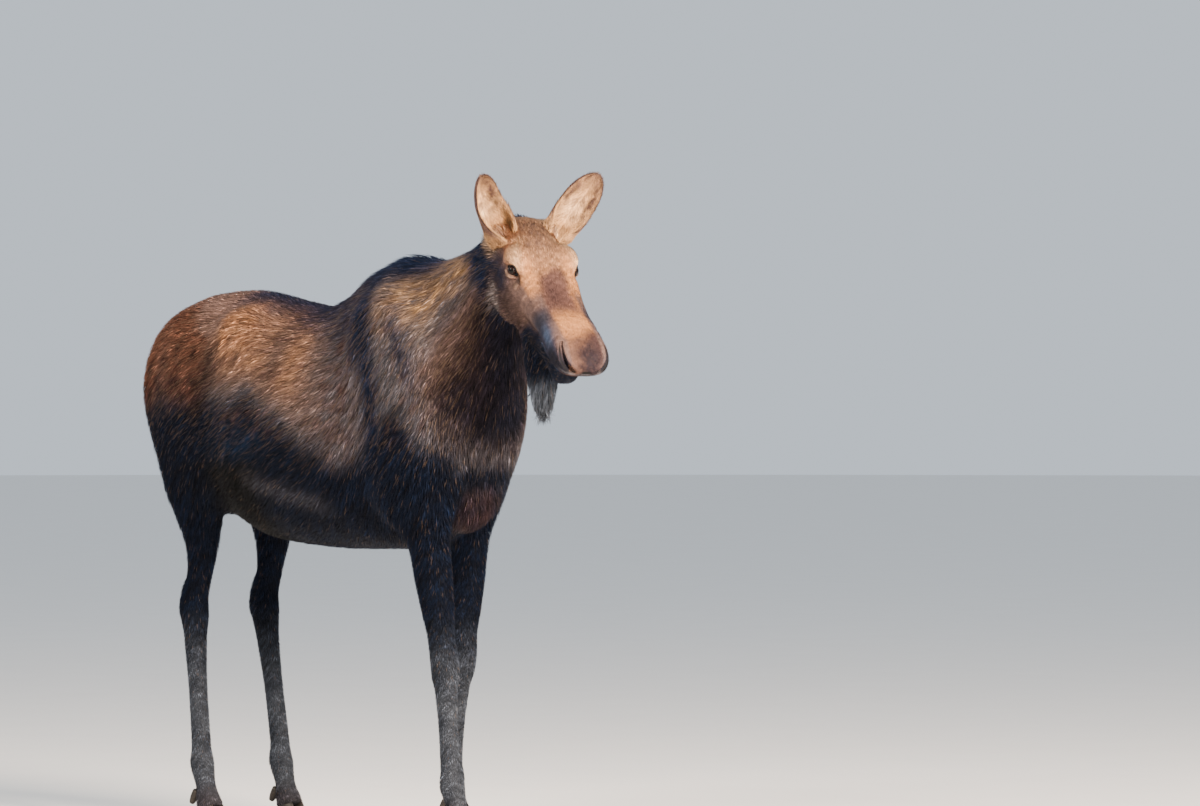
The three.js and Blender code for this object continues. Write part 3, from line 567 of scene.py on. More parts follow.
def lids(d, p):
    """Adds the lids round each eye to the skin's distance, and opens the almond between them."""
    for centre, axes in EYE_FRAMES.values():
        near_eye = length_of(p - centre) < 60
        h, v, out = ((p[near_eye] - centre) @ axes.T).T
        reach = np.sqrt(h * h + v * v + out * out)
        gap = lid_gap(h, v)
        margin = 1.2 * hill(gap, 1.5, 2.0)
        crease = -1.6 * hill(gap, 8, 2.6) + 1.4 * hill(gap, 13, 4)
        shell = np.maximum(reach - EYE_RADIUS - 3.2 - margin - crease, -2 - out)
        lidded = np.maximum(blend(d[near_eye], shell, 8), -np.maximum(gap, 2 - out))
        d[near_eye] = np.minimum(lidded, reach - EYE_RADIUS + 3)
    return d


def coronet_plane(p):
    """Below 0 above a level just under the top of the hooves, which rises to the front."""
    level = np.full(len(p), -1e6)
    for table in LEG_TABLES:
        foot = np.array(table[1][1:3])
        close = length_of(p[:, :2] - foot) < 120
        top = CORONET_HEIGHT - 8 + CORONET_SLOPE * (foot[1] - p[:, 1])
        level = np.where(close, top - p[:, 2], level)
    return level


def skin_field(p):
    parts = flesh_parts(p)
    d = flesh(parts) + coat_depth(p, shares(parts))
    on_head = parts["head"] < 40
    d[on_head] = lids(d[on_head], p[on_head])
    return np.maximum(d, coronet_plane(p))


def slope_of(field, p, here, step=0.6):
    return np.stack([(field(p + step * axis) - here) / step for axis in np.eye(3)], 1)


def settle(p, rounds, longest=9.0):
    """Moves points straight onto the skin."""
    for _ in range(rounds):
        here = skin_field(p)
        slope = slope_of(skin_field, p, here)
        size = np.maximum(length_of(slope), 0.35)
        step = np.clip(-here / size, -longest, longest)
        p = p + slope / size[:, None] * step[:, None]
    return p


# ---------------------------------------------------------------- meshes
def read(source, attribute, width, kind=np.float32):
    """One attribute of a Blender collection, in rows of the given width."""
    values = np.empty(len(source) * width, kind)
    source.foreach_get(attribute, values)
    return values.reshape(-1, width)


def mesh_points(mesh):
    return read(mesh.vertices, "co", 3).astype(float)


def set_points(mesh, p):
    mesh.vertices.foreach_set("co", p.astype(np.float32).ravel())
    mesh.update()


def linked(name, data):
    made = bpy.data.objects.new(name, data)
    bpy.context.scene.collection.objects.link(made)
    return made


def add_object(name, mesh, shade):
    piece = linked(name, mesh)
    mesh.materials.clear()
    mesh.materials.append(shade)
    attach(piece, "root")
    return piece


@contextmanager
def editing(mesh):
    """A bmesh of the mesh, which is written back at the end."""
    bm = bmesh.new()
    bm.from_mesh(mesh)
    yield bm
    bm.to_mesh(mesh)
    bm.free()


def modified(piece, **modifiers):
    """The mesh that a piece shows under the given modifiers, which are then cleared."""
    for kind, settings in modifiers.items():
        modifier = piece.modifiers.new(kind, kind)
        for name, value in settings.items():
            setattr(modifier, name, value)
    shown = piece.evaluated_get(bpy.context.evaluated_depsgraph_get())
    mesh = bpy.data.meshes.new_from_object(shown)
    piece.modifiers.clear()
    return mesh


def smooth(mesh):
    mesh.polygons.foreach_set("use_smooth", np.ones(len(mesh.polygons), bool))


def mesh_of(name, points, faces, colour, uv=None):
    """A mesh of faces that all have the same number of corners, or of several such lists."""
    groups = faces if isinstance(faces, list) else [faces]
    mesh = bpy.data.meshes.new(name)
    loops = np.concatenate([g.ravel() for g in groups]).astype(np.int32)
    sizes = np.concatenate([np.full(len(g), g.shape[1]) for g in groups])
    mesh.vertices.add(len(points))
    mesh.loops.add(len(loops))
    mesh.polygons.add(len(sizes))
    mesh.vertices.foreach_set("co", to_scene(points).astype(np.float32).ravel())
    mesh.loops.foreach_set("vertex_index", loops)
    starts = np.concatenate([[0], np.cumsum(sizes)[:-1]]).astype(np.int32)
    mesh.polygons.foreach_set("loop_start", starts)
    smooth(mesh)
    paint(mesh, colour)
    if uv is not None:
        unwrapped = mesh.uv_layers.new(name="OFBake")
        unwrapped.data.foreach_set("uv", uv[loops].astype(np.float32).ravel())
    mesh.update(calc_edges=True)
    return mesh


def paint(mesh, colour):
    marks = mesh.color_attributes.new("markings", "FLOAT_COLOR", "POINT")
    rgba = np.concatenate([colour, np.ones((len(colour), 1))], 1)
    marks.data.foreach_set("color", rgba.astype(np.float32).ravel())


# ---------------------------------------------------------------- skin
def rough_skin():
    """One closed mesh of all the flesh, from its solids, with the eyes as bumps for the lids."""
    mesh = bpy.data.meshes.new("rough")
    with editing(mesh) as bm:
        for name in FLESH + LEG_NAMES + ["eye_left", "eye_right"]:
            bm.from_mesh(NODES[name].data)
    rough = linked("rough", mesh)
    result = modified(rough, REMESH={"mode": "VOXEL", "voxel_size": VOXEL / 1000})
    bpy.data.objects.remove(rough)
    return result


def refine(mesh, wanted):
    """Cuts in four each face whose middle is wanted."""
    with editing(mesh) as bm:
        chosen = wanted(from_scene(np.array([f.calc_center_median() for f in bm.faces])))
        edges = {e for f, take in zip(bm.faces, chosen) if take for e in f.edges}
        bmesh.ops.subdivide_edges(bm, edges=list(edges), cuts=1, use_grid_fill=True)


def nearest_of(places, p):
    """How far each point lies from the nearest of a few places."""
    return np.minimum.reduce([length_of(p - place) for place in places])


def eye_reach(p):
    return nearest_of([centre for centre, _ in EYE_FRAMES.values()], p)


def in_face(p):
    q = in_head(p)
    return (q[:, 0] > -10) & (np.abs(q[:, 1]) < 170) & (q[:, 2] > -275) & (q[:, 2] < 60) & (q[:, 0] < 700)


def in_feature(p, eye, nostril, mouth):
    """Near an eye, a nostril or the mouth line."""
    q = in_head(p)
    height, open_mouth = mouth_gap(q)
    at_mouth = (np.abs(height) < mouth) & (open_mouth > 0.05)
    return ((eye_reach(p) < eye) | (nostril_gap(q) < nostril) | at_mouth) & in_face(p)


def body_skin():
    """The skin of all but the ears, fine on the head and finest at its features."""
    mesh = rough_skin()
    set_points(mesh, to_scene(settle(from_scene(mesh_points(mesh)), 4, 30)))
    for wanted in (
        in_face,
        lambda p: in_feature(p, 46, 26, 16),
        lambda p: in_feature(p, 30, 16, 9),
    ):
        refine(mesh, wanted)
        p = from_scene(mesh_points(mesh))
        moving = in_face(p)
        p[moving] = settle(p[moving], 4)
        set_points(mesh, to_scene(p))
    normal = unit(slope_of(skin_field, p[moving], skin_field(p[moving])))
    lidded = rise(eye_reach(p[moving]), 24, 34)
    p[moving] += normal * (head_relief(in_head(p[moving])) * lidded)[:, None]
    set_points(mesh, to_scene(p))
    return mesh


def ear_frame(side):
    """The ear's root, and its axis, the way that it opens, and the way across it."""
    base = on_side(EAR_AT, side)
    level = np.stack([AHEAD, HEAD_SIDE, [0, 0, 1]])
    axis = unit(np.array(EAR_SET[side]["axis"]) @ level)
    opens = np.array(EAR_SET[side]["opens"]) @ level
    opens = unit(opens - axis * dots(opens, axis))
    return base, axis, opens, np.cross(axis, opens)


def ear_place(side, t, share, inset):
    """Points of an ear: t runs from root to tip and share from edge to edge, inset inwards."""
    base, axis, opens, across = ear_frame(side)
    widest = 0.44
    low = 1 - 0.3 * (np.maximum(widest - t, 0) / widest) ** 2
    high = np.maximum(1 - (np.maximum(t - widest, 0) / (1 - widest)) ** 2.5, 0) ** 0.56
    half_width = np.maximum(EAR_HALF_WIDTH * np.where(t < widest, low, high), 7)
    roll = np.radians(mix(150, 60, rise(t * 1.6, 0, 1)))
    radius = half_width / np.sin(np.minimum(roll, np.pi / 2))
    offset = (radius - half_width * 0.55)[:, None] * opens + (EAR_LENGTH * (t - 0.06))[:, None] * axis
    angle = roll * share
    reach = (radius - inset)[:, None]
    round_it = across * np.sin(angle)[:, None] - opens * np.cos(angle)[:, None]
    return base + offset + reach * round_it


def ear_skin(side):
    """Points, quads and place of one ear: an outer and an inner sheet joined at the edge."""
    rows, columns = 38, 31
    t = np.linspace(EAR_ROOT, 0.985, rows)
    share = np.linspace(-1, 1, columns) * 0.985
    tt, ss = (v.ravel() for v in np.meshgrid(t, share, indexing="ij"))
    outer = ear_place(side, tt, ss, EAR_INSET)
    fold = 1.6 * np.sin(ss * 8 + tt * 4) * band(tt, 0.1, 0.3, 0.7, 0.95)
    inner = ear_place(side, tt, ss, EAR_INSET + EAR_WALL + fold)
    points = np.concatenate([outer, inner])
    grid = np.arange(rows * columns).reshape(rows, columns)
    quads = np.stack([grid[:-1, :-1], grid[:-1, 1:], grid[1:, 1:], grid[1:, :-1]], -1).reshape(-1, 4)
    other = quads[:, ::-1] + rows * columns
    ring = np.concatenate([grid[:, 0], grid[-1, 1:], grid[-2::-1, -1]])
    wall = np.stack([ring[:-1], ring[1:], ring[1:] + grid.size, ring[:-1] + grid.size], 1)
    place = {"t": np.tile(tt, 2), "share": np.tile(ss, 2), "inside": np.repeat([0.0, 1.0], grid.size)}
    return points, np.concatenate([quads, other, wall[:, ::-1]]), place


# ---------------------------------------------------------------- markings
def tone(*rgb):
    """A hair colour as linear light, a little deeper and richer than the given sRGB colour."""
    light = (np.array(rgb) / 255) ** 2.2
    grey = light @ [0.21, 0.72, 0.07]
    return np.clip(0.68 * (grey + 1.08 * (light - grey)), 0.002, 1)


# The cool blue in BLACK, SLATE, ASH and INK is painted shade: the tint of sky-lit shadow, laid on the hair's
# own near-black and grey.
BLACK = tone(20, 27, 42)
CHOCOLATE = tone(62, 49, 50)
BROWN = tone(108, 84, 76)
RUSSET = tone(104, 70, 58)
TAN = tone(178, 134, 106)
GREIGE = tone(103, 101, 107)
GOLD = tone(196, 154, 114)
STRAW = tone(186, 156, 130)
SLATE = tone(28, 38, 60)
SKY_SHEEN_PALE = tone(96, 112, 140)
ASH = tone(88, 94, 104)
CREAM = tone(234, 194, 154)
FAWN = tone(178, 126, 92)
AMBER = tone(226, 162, 110)
MAUVE = tone(116, 88, 84)
UMBER = tone(84, 64, 62)
SKY_SHEEN_DEEP = tone(40, 70, 106)
HIDE = tone(18, 17, 20)
INK = tone(9, 11, 17)
SEPIA = tone(38, 29, 30)
TAUPE = tone(146, 118, 108)
PALE = tone(220, 174, 140)
CLAY = tone(122, 100, 94)
DUSK = tone(70, 68, 76)
ASHEN = tone(164, 152, 148)


def layers(base, *steps):
    """The base colour under each step's colour, which is laid over it by the step's share."""
    c = base
    for colour, share in steps:
        c = c + (colour - c) * np.clip(share, 0, 1)[:, None]
    return c


def body_colour(p):
    """Trunk and neck: grey and tan high on the sides, black below, dark along the back. The split between the
    light sides and the black below is partly painted sunlight and shade, and some marks are painted
    highlights, sheen and shadows.
    """
    x, y, z = p.T
    cloud, fleck, speck = ripple(p, 190, 3), ripple(p, 60, 4), ripple(p, 30, 7)
    # Painted light: the sides above this shade line are painted as sunlit and those below it as in shade,
    # over the coat's own darker underside.
    shade_line = mix(1215, 1400, rise(y, 60, 540)) + 160 * hill(y, -160, 95) + 18 * cloud
    lit = rise(z, shade_line - 60, shade_line + 90)
    warm = rise(y, 150, 380) * rise(z - shade_line, 0, 120)
    rump = rise(y, 690, 800) * rise(z, 1350, 1450)
    rump_fold = hill(y, 742 + 0.3 * (1500 - z), 46) * rise(z, 1280, 1380) * rise(1610 - z, 0, 70)
    rump_line = mix(1600, 1695, rise(y, 790, 930))
    crease = hill(z, 1073 + 0.26 * (y - 193), 30) * band(y, 120, 230, 480, 570)
    under_back = band(y, -40, 20, 300, 520) * hill(z, 1665 + 20 * fleck, 66)
    groove_shadow = hill(y + 8 * speck, -58 + 0.3 * np.maximum(z - 1470, 0), 46) * rise(z, 1040, 1180)
    back = rise(trunk_height(p), 0.86, 0.95) * hill(x, 0, 130) * (1 - 0.9 * rise(y, 720, 800))
    on_neck = rise(neck_place(p)[0], 40, 200)
    g = neck_height(p) + 0.04 * cloud
    nape = np.maximum(0.9 * rise(g, 0.88, 0.98), rise(neck_place(p)[0], 430, 500))
    shoulder_shadow = hill(y, -150 + 0.42 * (z - 1600), 32 + 12 * fleck) * hill(z, 1590, 160)
    grey_chest = hill(z, 1210, 80) * rise(-y, 230, 300) * fall(np.abs(x), 120, 190)
    brisket = ellipsoid(x, y, z, (-20, -250, 1085), (90, 90, 104))
    return layers(
        BLACK,
        # the side above the shade line, painted as sunlit: grey in front and tan behind
        (GREIGE, 0.9 * lit),
        (UMBER, 0.6 * lit * hill(y, 120, 130) * (0.8 + 0.5 * fleck)),
        (TAN, warm * (0.7 + 0.3 * cloud)),
        (BROWN, 0.85 * warm * rise(speck, 0.0, 0.6)),
        # painted highlight: the sunlit top of the hip
        (FAWN, 0.85 * hill(y, 630, 120) * hill(z, 1630, 60) * (0.8 + 0.4 * fleck)),
        (UMBER, 0.8 * hill(y, 425, 34) * hill(z, 1510, 60) * (0.7 + 0.5 * speck)),
        (UMBER, 0.6 * rise(ripple(p, 34, 5), 0.2, 0.9) * rise(z, 1240, 1340)),
        # the rump and the thigh
        (RUSSET, rump * (0.85 + 0.2 * cloud)),
        (SEPIA, 0.85 * rump * rise(fleck + 0.5 * speck + 0.006 * (1480 - z), -0.1, 1.0)),
        (SEPIA, 0.75 * rump_fold),
        # painted highlight along the top of the croup, above the rump line
        (TAUPE, 0.8 * rise(y, 660, 730) * rise(z + 14 * fleck, rump_line - 20, rump_line + 30)),
        # the thigh's black hair, with painted shade below the lit rump
        (BLACK, rise(y, 560, 720) * fall(z + 24 * cloud, 1300, 1430)),
        # the flank, the belly and the back
        # painted blue sheen of the sky on the stifle and flank
        (SKY_SHEEN_DEEP, 0.18 * hill(y, 545, 120) * hill(z, 1275, 60) * (0.8 + 0.4 * fleck)),
        (INK, 0.9 * rise(y, 400, 520) * fall(z, 1170, 1240)),
        (GREIGE, 0.28 * crease),
        (SLATE, 0.8 * under_back),
        # painted shade behind the shoulder: at the top of the groove, and down the groove itself
        (SLATE, 0.75 * hill(y, 35, 52) * rise(z, 1450, 1560)),
        (SLATE, groove_shadow * fall(z, 1700, 1800)),
        (BLACK, hill(y, -100, 92) * hill(z, 1185, 105)),
        (SLATE, 0.95 * back),
        # the neck and the chest
        (GOLD, 0.85 * on_neck * hill(g, 0.77, 0.14) * (0.6 + 0.6 * speck)),
        (BROWN, 0.7 * on_neck * fall(g, 0.4, 0.6)),
        (SEPIA, 0.9 * on_neck * fall(g, 0.2, 0.46)),
        (BLACK, 0.8 * on_neck * fall(g, 0.02, 0.28)),
        # painted shadow: a dark line cast down across the shoulder to the neck's root
        (SLATE, 0.85 * shoulder_shadow),
        (BLACK, 0.8 * hill(y, -330, 70) * hill(z, 1200, 60) * rise(np.abs(x), 120, 200)),
        (GREIGE, 0.45 * grey_chest * (0.7 + 0.5 * fleck)),
        # the dark mane along the neck's top, and painted shadow of the head on the neck's end behind the jaw
        (SLATE, on_neck * nape),
        (BLACK, 0.85 * hill(brisket, 44, 26)),
        (UMBER, 0.45 * fall(brisket, -14, 26) * (0.75 + 0.4 * ripple(p, 40, 6))),
    )


def leg_colour(p):
    """Near black above, charcoal and grey down the shanks, dark above the hooves."""
    z = p[:, 2]
    shank = (0.75 + 0.2 * ripple(p, 80, 9)) * fall(z, 420, 760)
    return layers(BLACK, (ASH, shank), (CHOCOLATE, 0.5 * fall(z, 90, 180)))


def face_colour(p):
    """Tan in front with a mottled forehead and a dark bridge, brown cheeks, blue-black below. The blue-black
    jaw and the dark sides of the muzzle are dark hair with painted shade over it, and the muzzle's top and
    lips carry painted light and sky sheen.
    """
    q = in_head(p)
    m = mirrored(q)
    side = q[:, 1]
    along, a, up = m.T
    fleck, blotch = ripple(p, 30, 21), ripple(p, 12, 22)
    streaky = 0.65 + 0.75 * ripple(q * [1, 1, 0.25], 16, 23)

    forehead = band(along, 20, 70, 150, 215) * fall(a, 40, 74)
    half_width = mix(12, 56, rise(along, 215, 305))
    off_bridge = np.abs(side - mix(26, -12, rise(along, 235, 320))) + 8 * blotch
    bridge = fall(off_bridge, half_width - 16, half_width + 12)
    bridge = bridge * rise(along, 205, 270) * fall(along + 14 * fleck, 392, 474)
    brow = line_distance(m, [(120, 66, 6), (175, 94, 10), (222, 104, -4)])
    stripe = line_distance(m, [(252, 34, 0), (330, 52, -6), (398, 72, -20)])
    smudge = hill(side, 12, 46 + 6 * fleck) * rise(along, 520, 600)
    side_face = rise(-up + 8 * fleck, 20, 46) * fall(along, 395, 425)
    cheek = rise(-up + 12 * fleck, 72, 104) * fall(along, 290, 345)
    behind_cheek = along + 0.15 * (up + 170)
    jowl = band(behind_cheek, 116, 140, 186, 222)
    shaded_lip_side = rise(along, 380, 436) * rise(-up, 4, 28) * (1 - rise(along, 585, 610) * (a < 52))
    jaw_line = mix(235, 128, rise(along, 285, 350)) - 0.18 * np.maximum(along - 350, 0)
    temple = hill(up + 10 * fleck, -78 - 0.12 * (along - 110), 38)
    temple = temple * band(along, 56, 92, 190, 256)
    under_eye = line_distance(m, [(204, 118, -52), (262, 104, -56)])
    tear = line_distance(m * [1, 0.3, 1], np.array(TEAR_LINE) * [1, 0.3, 1])
    nostril = nostril_gap(q)
    height, open_mouth = mouth_gap(q)
    notch = lip_notch(q) + 10 * (along < NOTCH_FROM)
    fluffy = hill(ear_root_distance(p), 16, 34) * rise(a, 78, 100) * rise(up, -104, -68)
    return layers(
        FAWN,
        # the front of the face
        (PALE, 0.62 * rise(up, -44, -14) * fall(along + 12 * fleck, 180, 330)),
        (CLAY, forehead * (0.26 + 0.4 * blotch + 0.3 * fleck)),
        (CLAY, forehead * hill(along, 105, 55) * hill(a, 0, 27) * (0.4 + 0.4 * blotch)),
        (MAUVE, 0.9 * bridge),
        (UMBER, 0.85 * bridge * hill(along, 345, 74) * hill(side, -20, 40)),
        (CREAM, 0.6 * hill(brow, 0, 18)),
        (AMBER, 0.85 * hill(along, 268, 62) * hill(a, 68, 20) * rise(up, -40, -20)),
        (CHOCOLATE, 0.6 * hill(stripe, 0, 7)),
        # the muzzle's tan top, with painted sunlight on it
        (AMBER, 0.85 * hill(along, 480, 52) * rise(up, -22, 2) * fall(a, 42, 62)),
        # the nose
        (BROWN, 0.85 * rise(along + 10 * fleck, 536, 592)),
        # painted shade on the nose's left side, which faces away from the light
        (UMBER, rise(along, 490, 560) * rise(side, -6, 40)),
        (CHOCOLATE, smudge * (1.0 + 0.25 * blotch)),
        (BLACK, 0.45 * smudge * rise(along, 570, 630)),
        # the cheek
        (TAUPE, 0.9 * side_face),
        (CLAY, 0.75 * side_face * rise(-up + 20 * fleck, 26, 62)),
        (CHOCOLATE, cheek * (0.7 + 0.35 * blotch)),
        (BROWN, 0.45 * cheek * rise(blotch, 0.2, 0.8) * rise(along, 200, 230)),
        (ASHEN, streaky * jowl * rise(-up, 116, 150)),
        (TAUPE, 0.6 * hill(along, 335, 34) * hill(up, -112, 30) * (0.8 + 0.4 * blotch)),
        # the lip and the jaw
        (CLAY, 0.9 * rise(along, 318, 366) * rise(a, 48, 62)),
        # the dark hair of the muzzle's sides, with painted shade over it
        (DUSK, 0.5 * shaded_lip_side),
        (SLATE, 0.8 * shaded_lip_side),
        (INK, 0.6 * shaded_lip_side * rise(along, 528, 570) * rise(-up, 20, 40)),
        # painted shade in the hollow where the cheek meets the muzzle
        (DUSK, 0.75 * hill(along, 438, 44) * rise(a, 50, 70)),
        # painted sheen of the sky on the side of the upper lip
        (SKY_SHEEN_PALE, 0.7 * hill(along, 508, 36) * hill(up, -34, 18)),
        # the lower jaw's dark hair, with painted shade below the jaw line
        (SLATE, 0.95 * rise(-up, jaw_line - 18, jaw_line + 18)),
        (BLACK, 0.9 * rise(-up, jaw_line + 10, jaw_line + 40)),
        # the temple, the back of the head and the ear's root
        # painted shadow of the head behind the jaw
        (SLATE, rise(-up, 70, 100) * fall(along + 8 * fleck, 96, 132)),
        (SLATE, fall(along + 6 * fleck, -26, 4)),
        # the dark hair from the temple to under the eye, with painted shade under the cheekbone
        (SLATE, 0.85 * temple),
        # painted highlight along the crest under the eye
        (CREAM, 0.4 * hill(under_eye, 0, 7)),
        (CREAM, 0.8 * hill(along, 18, 30) * hill(a, 80, 24) * rise(up, -50, -22)),
        # bare skin at the eyes, the nostrils and the mouth
        (HIDE, fall(lid_distance(p), 4.5, 7.5)),
        (CLAY, 0.5 * hill(nostril, 7, 3) * rise(up, -40, -20)),
        (HIDE, fall(nostril, 0.5, 4)),
        (HIDE, 0.9 * fall(tear, 3, 6)),
        # painted sheen of the sky along the lower lip's edge
        (SKY_SHEEN_PALE, 0.6 * open_mouth * hill(height, -11, 5)),
        # the dark lips along the mouth line, with painted shade in the gap between them
        (HIDE, open_mouth * hill(height, 0, 5)),
        (UMBER, rise(along, 600, 630) * rise(-up, 66, 78)),
        (GREIGE, 0.8 * rise(along, 615, 635) * hill(up, -60, 5)),
        (HIDE, 0.9 * fall(notch, 0.8, 1.2)),
        # the fluff below the ear
        (BROWN, 0.3 * hill(length_of(m - EAR_AT), 20, 40)),
        (CREAM, 0.8 * fluffy),
        (CHOCOLATE, 0.45 * fluffy * rise(blotch, 0.2, 0.6)),
    )


def ear_root_distance(p):
    """How far each place lies from the middle of the fluff below the nearer ear."""
    return nearest_of([on_side(EAR_FLUFF_AT, side) for side in (-1, 1)], p)


def markings(p, share):
    body = body_colour(p)
    # the bell's top is dark: the dark throat hair, with painted shade under the jaw
    bell = layers(ASH, (BLACK, rise(p[:, 2], 1430, 1500)))
    tail = np.tile(CHOCOLATE, (len(p), 1))
    return by_share(share, body, body, leg_colour(p), face_colour(p), bell, tail)


def ear_colour(place):
    """Cream within, with brown patches and a thin dark rim, and brown outside."""
    inside, t, share = place["inside"], place["t"], np.abs(place["share"])
    front = 500 * (place["share"] > 0)  # keeps the mottling of the two halves apart
    mottle = ripple(np.stack([share * 60 + front, t * 240, 0 * t], 1), 22, 41)
    outer_edge = hill(share, 0.72, 0.3) * hill(t, 0.62, 0.2)
    root = fall(t, 0.1, 0.25)
    return layers(
        BROWN,
        (GOLD, inside),
        (CREAM, 0.8 * inside * hill(t, 0.4, 0.22) * hill(share, 0.1, 0.5)),
        (BROWN, 0.7 * inside * rise(t, 0.6, 0.95)),
        (UMBER, inside * (0.7 * outer_edge + 0.5 * rise(mottle, 0.0, 0.8) * rise(t, 0.15, 0.4))),
        (CHOCOLATE, 0.95 * rise(share, 0.91, 0.97)),
        (CHOCOLATE, 0.8 * rise(t, 0.93, 0.98)),
        (GOLD, (0.75 + 0.25 * inside) * fall(t, 0.1, 0.3)),
        (CHOCOLATE, 0.4 * root * rise(mottle, 0.1, 0.5)),
    )


# ---------------------------------------------------------------- the lie of the coat
def coat_style(p, share):
    """The way the hair lies at each point, its length and the height of its tips."""
    x, y, z = p.T
    q = in_head(p)
    along, side, up = q.T
    one = np.ones(len(p))
    sideways = np.clip(x / 60, -1, 1)
    h = trunk_height(p)

    rear = rise(y, 0, 300)
    body = np.stack([0 * x, mix(0.30, 0.80, rear), mix(-0.95, -0.66, rear)], 1)
    over_back = np.stack([0.35 * sideways, 0.95 * one, -0.30 * one], 1)
    body = mix(body, over_back, rise(h, 0.80, 0.96)[:, None])
    down_rump = np.stack([0.1 * sideways, 0.1 * one, -one], 1)
    body = mix(body, down_rump, rise(y, 980, 1140)[:, None])
    neck = np.stack([0.1 * sideways, 0.50 * one, -0.86 * one], 1)
    cheek = rise(-up, 40, 130) * fall(along, 330, 470)
    face = np.stack([-one, 0.15 * np.sign(side) * rise(-up, 0, 60), -0.9 * cheek], 1) @ HEAD_AXES
    hang = np.tile([0.0, 0.06, -1.0], (len(p), 1))
    flow = by_share(share, body, neck, hang, face, hang, hang)
    flow += 0.10 * np.stack([ripple(p, 150, seed) for seed in (31, 32, 33)], 1)
    flow += 0.07 * np.stack([ripple(p, 26, seed) for seed in (34, 35, 36)], 1)

    muzzle, jowl = face_zones(q)
    face = 9 + 10 * (1 - muzzle) + 18 * jowl - 3 * rise(along, 500, 600)
    face = face * mix(0.35, 1.0, rise(lid_distance(p), 5, 30))
    leg = 13 + 7 * rise(z, 420, 760) + 20 * rise(z, 800, 1080)
    throat = share["neck"] * fall(neck_height(p), 0.1, 0.4)
    body = 44 + 46 * ridge(p) - 6 * fall(h, 0.0, 0.3) + 14 * throat
    length = by_share(share, body, body + 4, leg, face, 50.0, 40.0)
    depth = coat_depth(p, share)

    fluff = hill(ear_root_distance(p), 0, 50) * share["head"]
    for ear in (-1, 1):
        _, axis, *_ = ear_frame(ear)
        here = np.clip(1.3 * fluff, 0, 1) * (side * ear > 85) * rise(up, -80, -40)
        flow = mix(unit(flow), axis, here[:, None])
        length = length + 14 * fluff
        depth = depth + 5 * fluff
    return flow, length, depth


def ear_style(side, place):
    """The lie, length and tip height of an ear's hair: soft within, fringed at the rim."""
    t, share, inside = place["t"], place["share"], place["inside"]
    _, axis, _, across = ear_frame(side)
    rim = rise(np.abs(share), 0.82, 1.0) * rise(t, 0.15, 0.35)
    flow = axis + (0.25 * rim * np.sign(share))[:, None] * across
    flow = flow - (0.5 * inside * (1 - rim) * np.sign(share))[:, None] * across
    deep = inside * fall(t, 0.35, 0.85)
    fluffy = (1 - inside) * fall(t, 0.0, 0.2)
    length = 11 + 12 * deep + 18 * fluffy
    depth = 2.2 + 4.6 * deep + 0.8 * inside + 7.0 * fluffy
    return flow, length, depth


def full_skin():
    """The one skin of body, head and ears, with its unwrap and with its coat's style."""
    body = body_skin()
    p = from_scene(mesh_points(body))
    share = shares(flesh_parts(p))
    flow, length, depth = coat_style(p, share)
    style = {"flow": flow, "length": length, "depth": depth, "colour": markings(p, share)}
    style |= {"bare": bare_places(p), "fleck": golden_tips(p, share), "face": share["head"]}
    with editing(body) as bm:
        for side in (-1, 1):
            points, quads, place = ear_skin(side)
            corners = [bm.verts.new(v) for v in to_scene(points)]
            made = [bm.faces.new([corners[i] for i in quad]) for quad in quads]
            bmesh.ops.recalc_face_normals(bm, faces=made)
            flow, length, depth = ear_style(side, place)
            one = np.ones(len(points))
            of_ear = {"flow": flow, "length": length, "depth": depth, "colour": ear_colour(place)}
            of_ear |= {"bare": 0 * one, "face": one, "fleck": 0.05 * one}
            style = {name: np.concatenate([values, of_ear[name]]) for name, values in style.items()}
    body.name = "skin"
    smooth(body)
    paint(body, style["colour"] * mix(0.35, 0.8, style["face"])[:, None])
    skin = add_object("skin", body, skin_material())
    unwrap(skin)
    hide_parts(*FLESH, *LEG_NAMES, *EARS)
    return skin, style


def golden_tips(p, share):
    """How many of the hairs have golden tips at each place."""
    h, g = trunk_height(p), neck_height(p)
    sides = 0.16 * rise(p[:, 2], 1130, 1330) * fall(h, 0.86, 0.95)
    neck = 0.20 * band(g, 0.05, 0.3, 0.82, 0.95)
    cheek = 0.12 * rise(-in_head(p)[:, 2], 60, 110)
    return share["trunk"] * sides + share["neck"] * neck + share["head"] * cheek + 0.02


def bare_places(p):
    """1 where no hair grows: between the lids, in the nostrils and along the lips."""
    q = in_head(p)
    bare = np.maximum(fall(nostril_gap(q), 1, 4), fall(lid_distance(p), 5.0, 7.0))
    height, open_mouth = mouth_gap(q)
    bare = np.maximum(bare, open_mouth * fall(np.abs(height), 3, 6))
    bare = np.maximum(bare, (lip_notch(q) < 1) * (q[:, 0] > NOTCH_FROM))
    return bare * in_face(p)


def unwrap(skin):
    """An unwrap of the skin's own shape, which the tufts share."""
    while skin.data.uv_layers:
        skin.data.uv_layers.remove(skin.data.uv_layers[0])
    skin.data.uv_layers.new(name="OFBake")
    bpy.context.view_layer.objects.active = skin
    skin.select_set(True)
    bpy.ops.object.mode_set(mode="EDIT")
    bpy.ops.mesh.select_all(action="SELECT")
    bpy.ops.uv.smart_project(angle_limit=math.radians(70), island_margin=0.002)
    bpy.ops.object.mode_set(mode="OBJECT")
    skin.select_set(False)


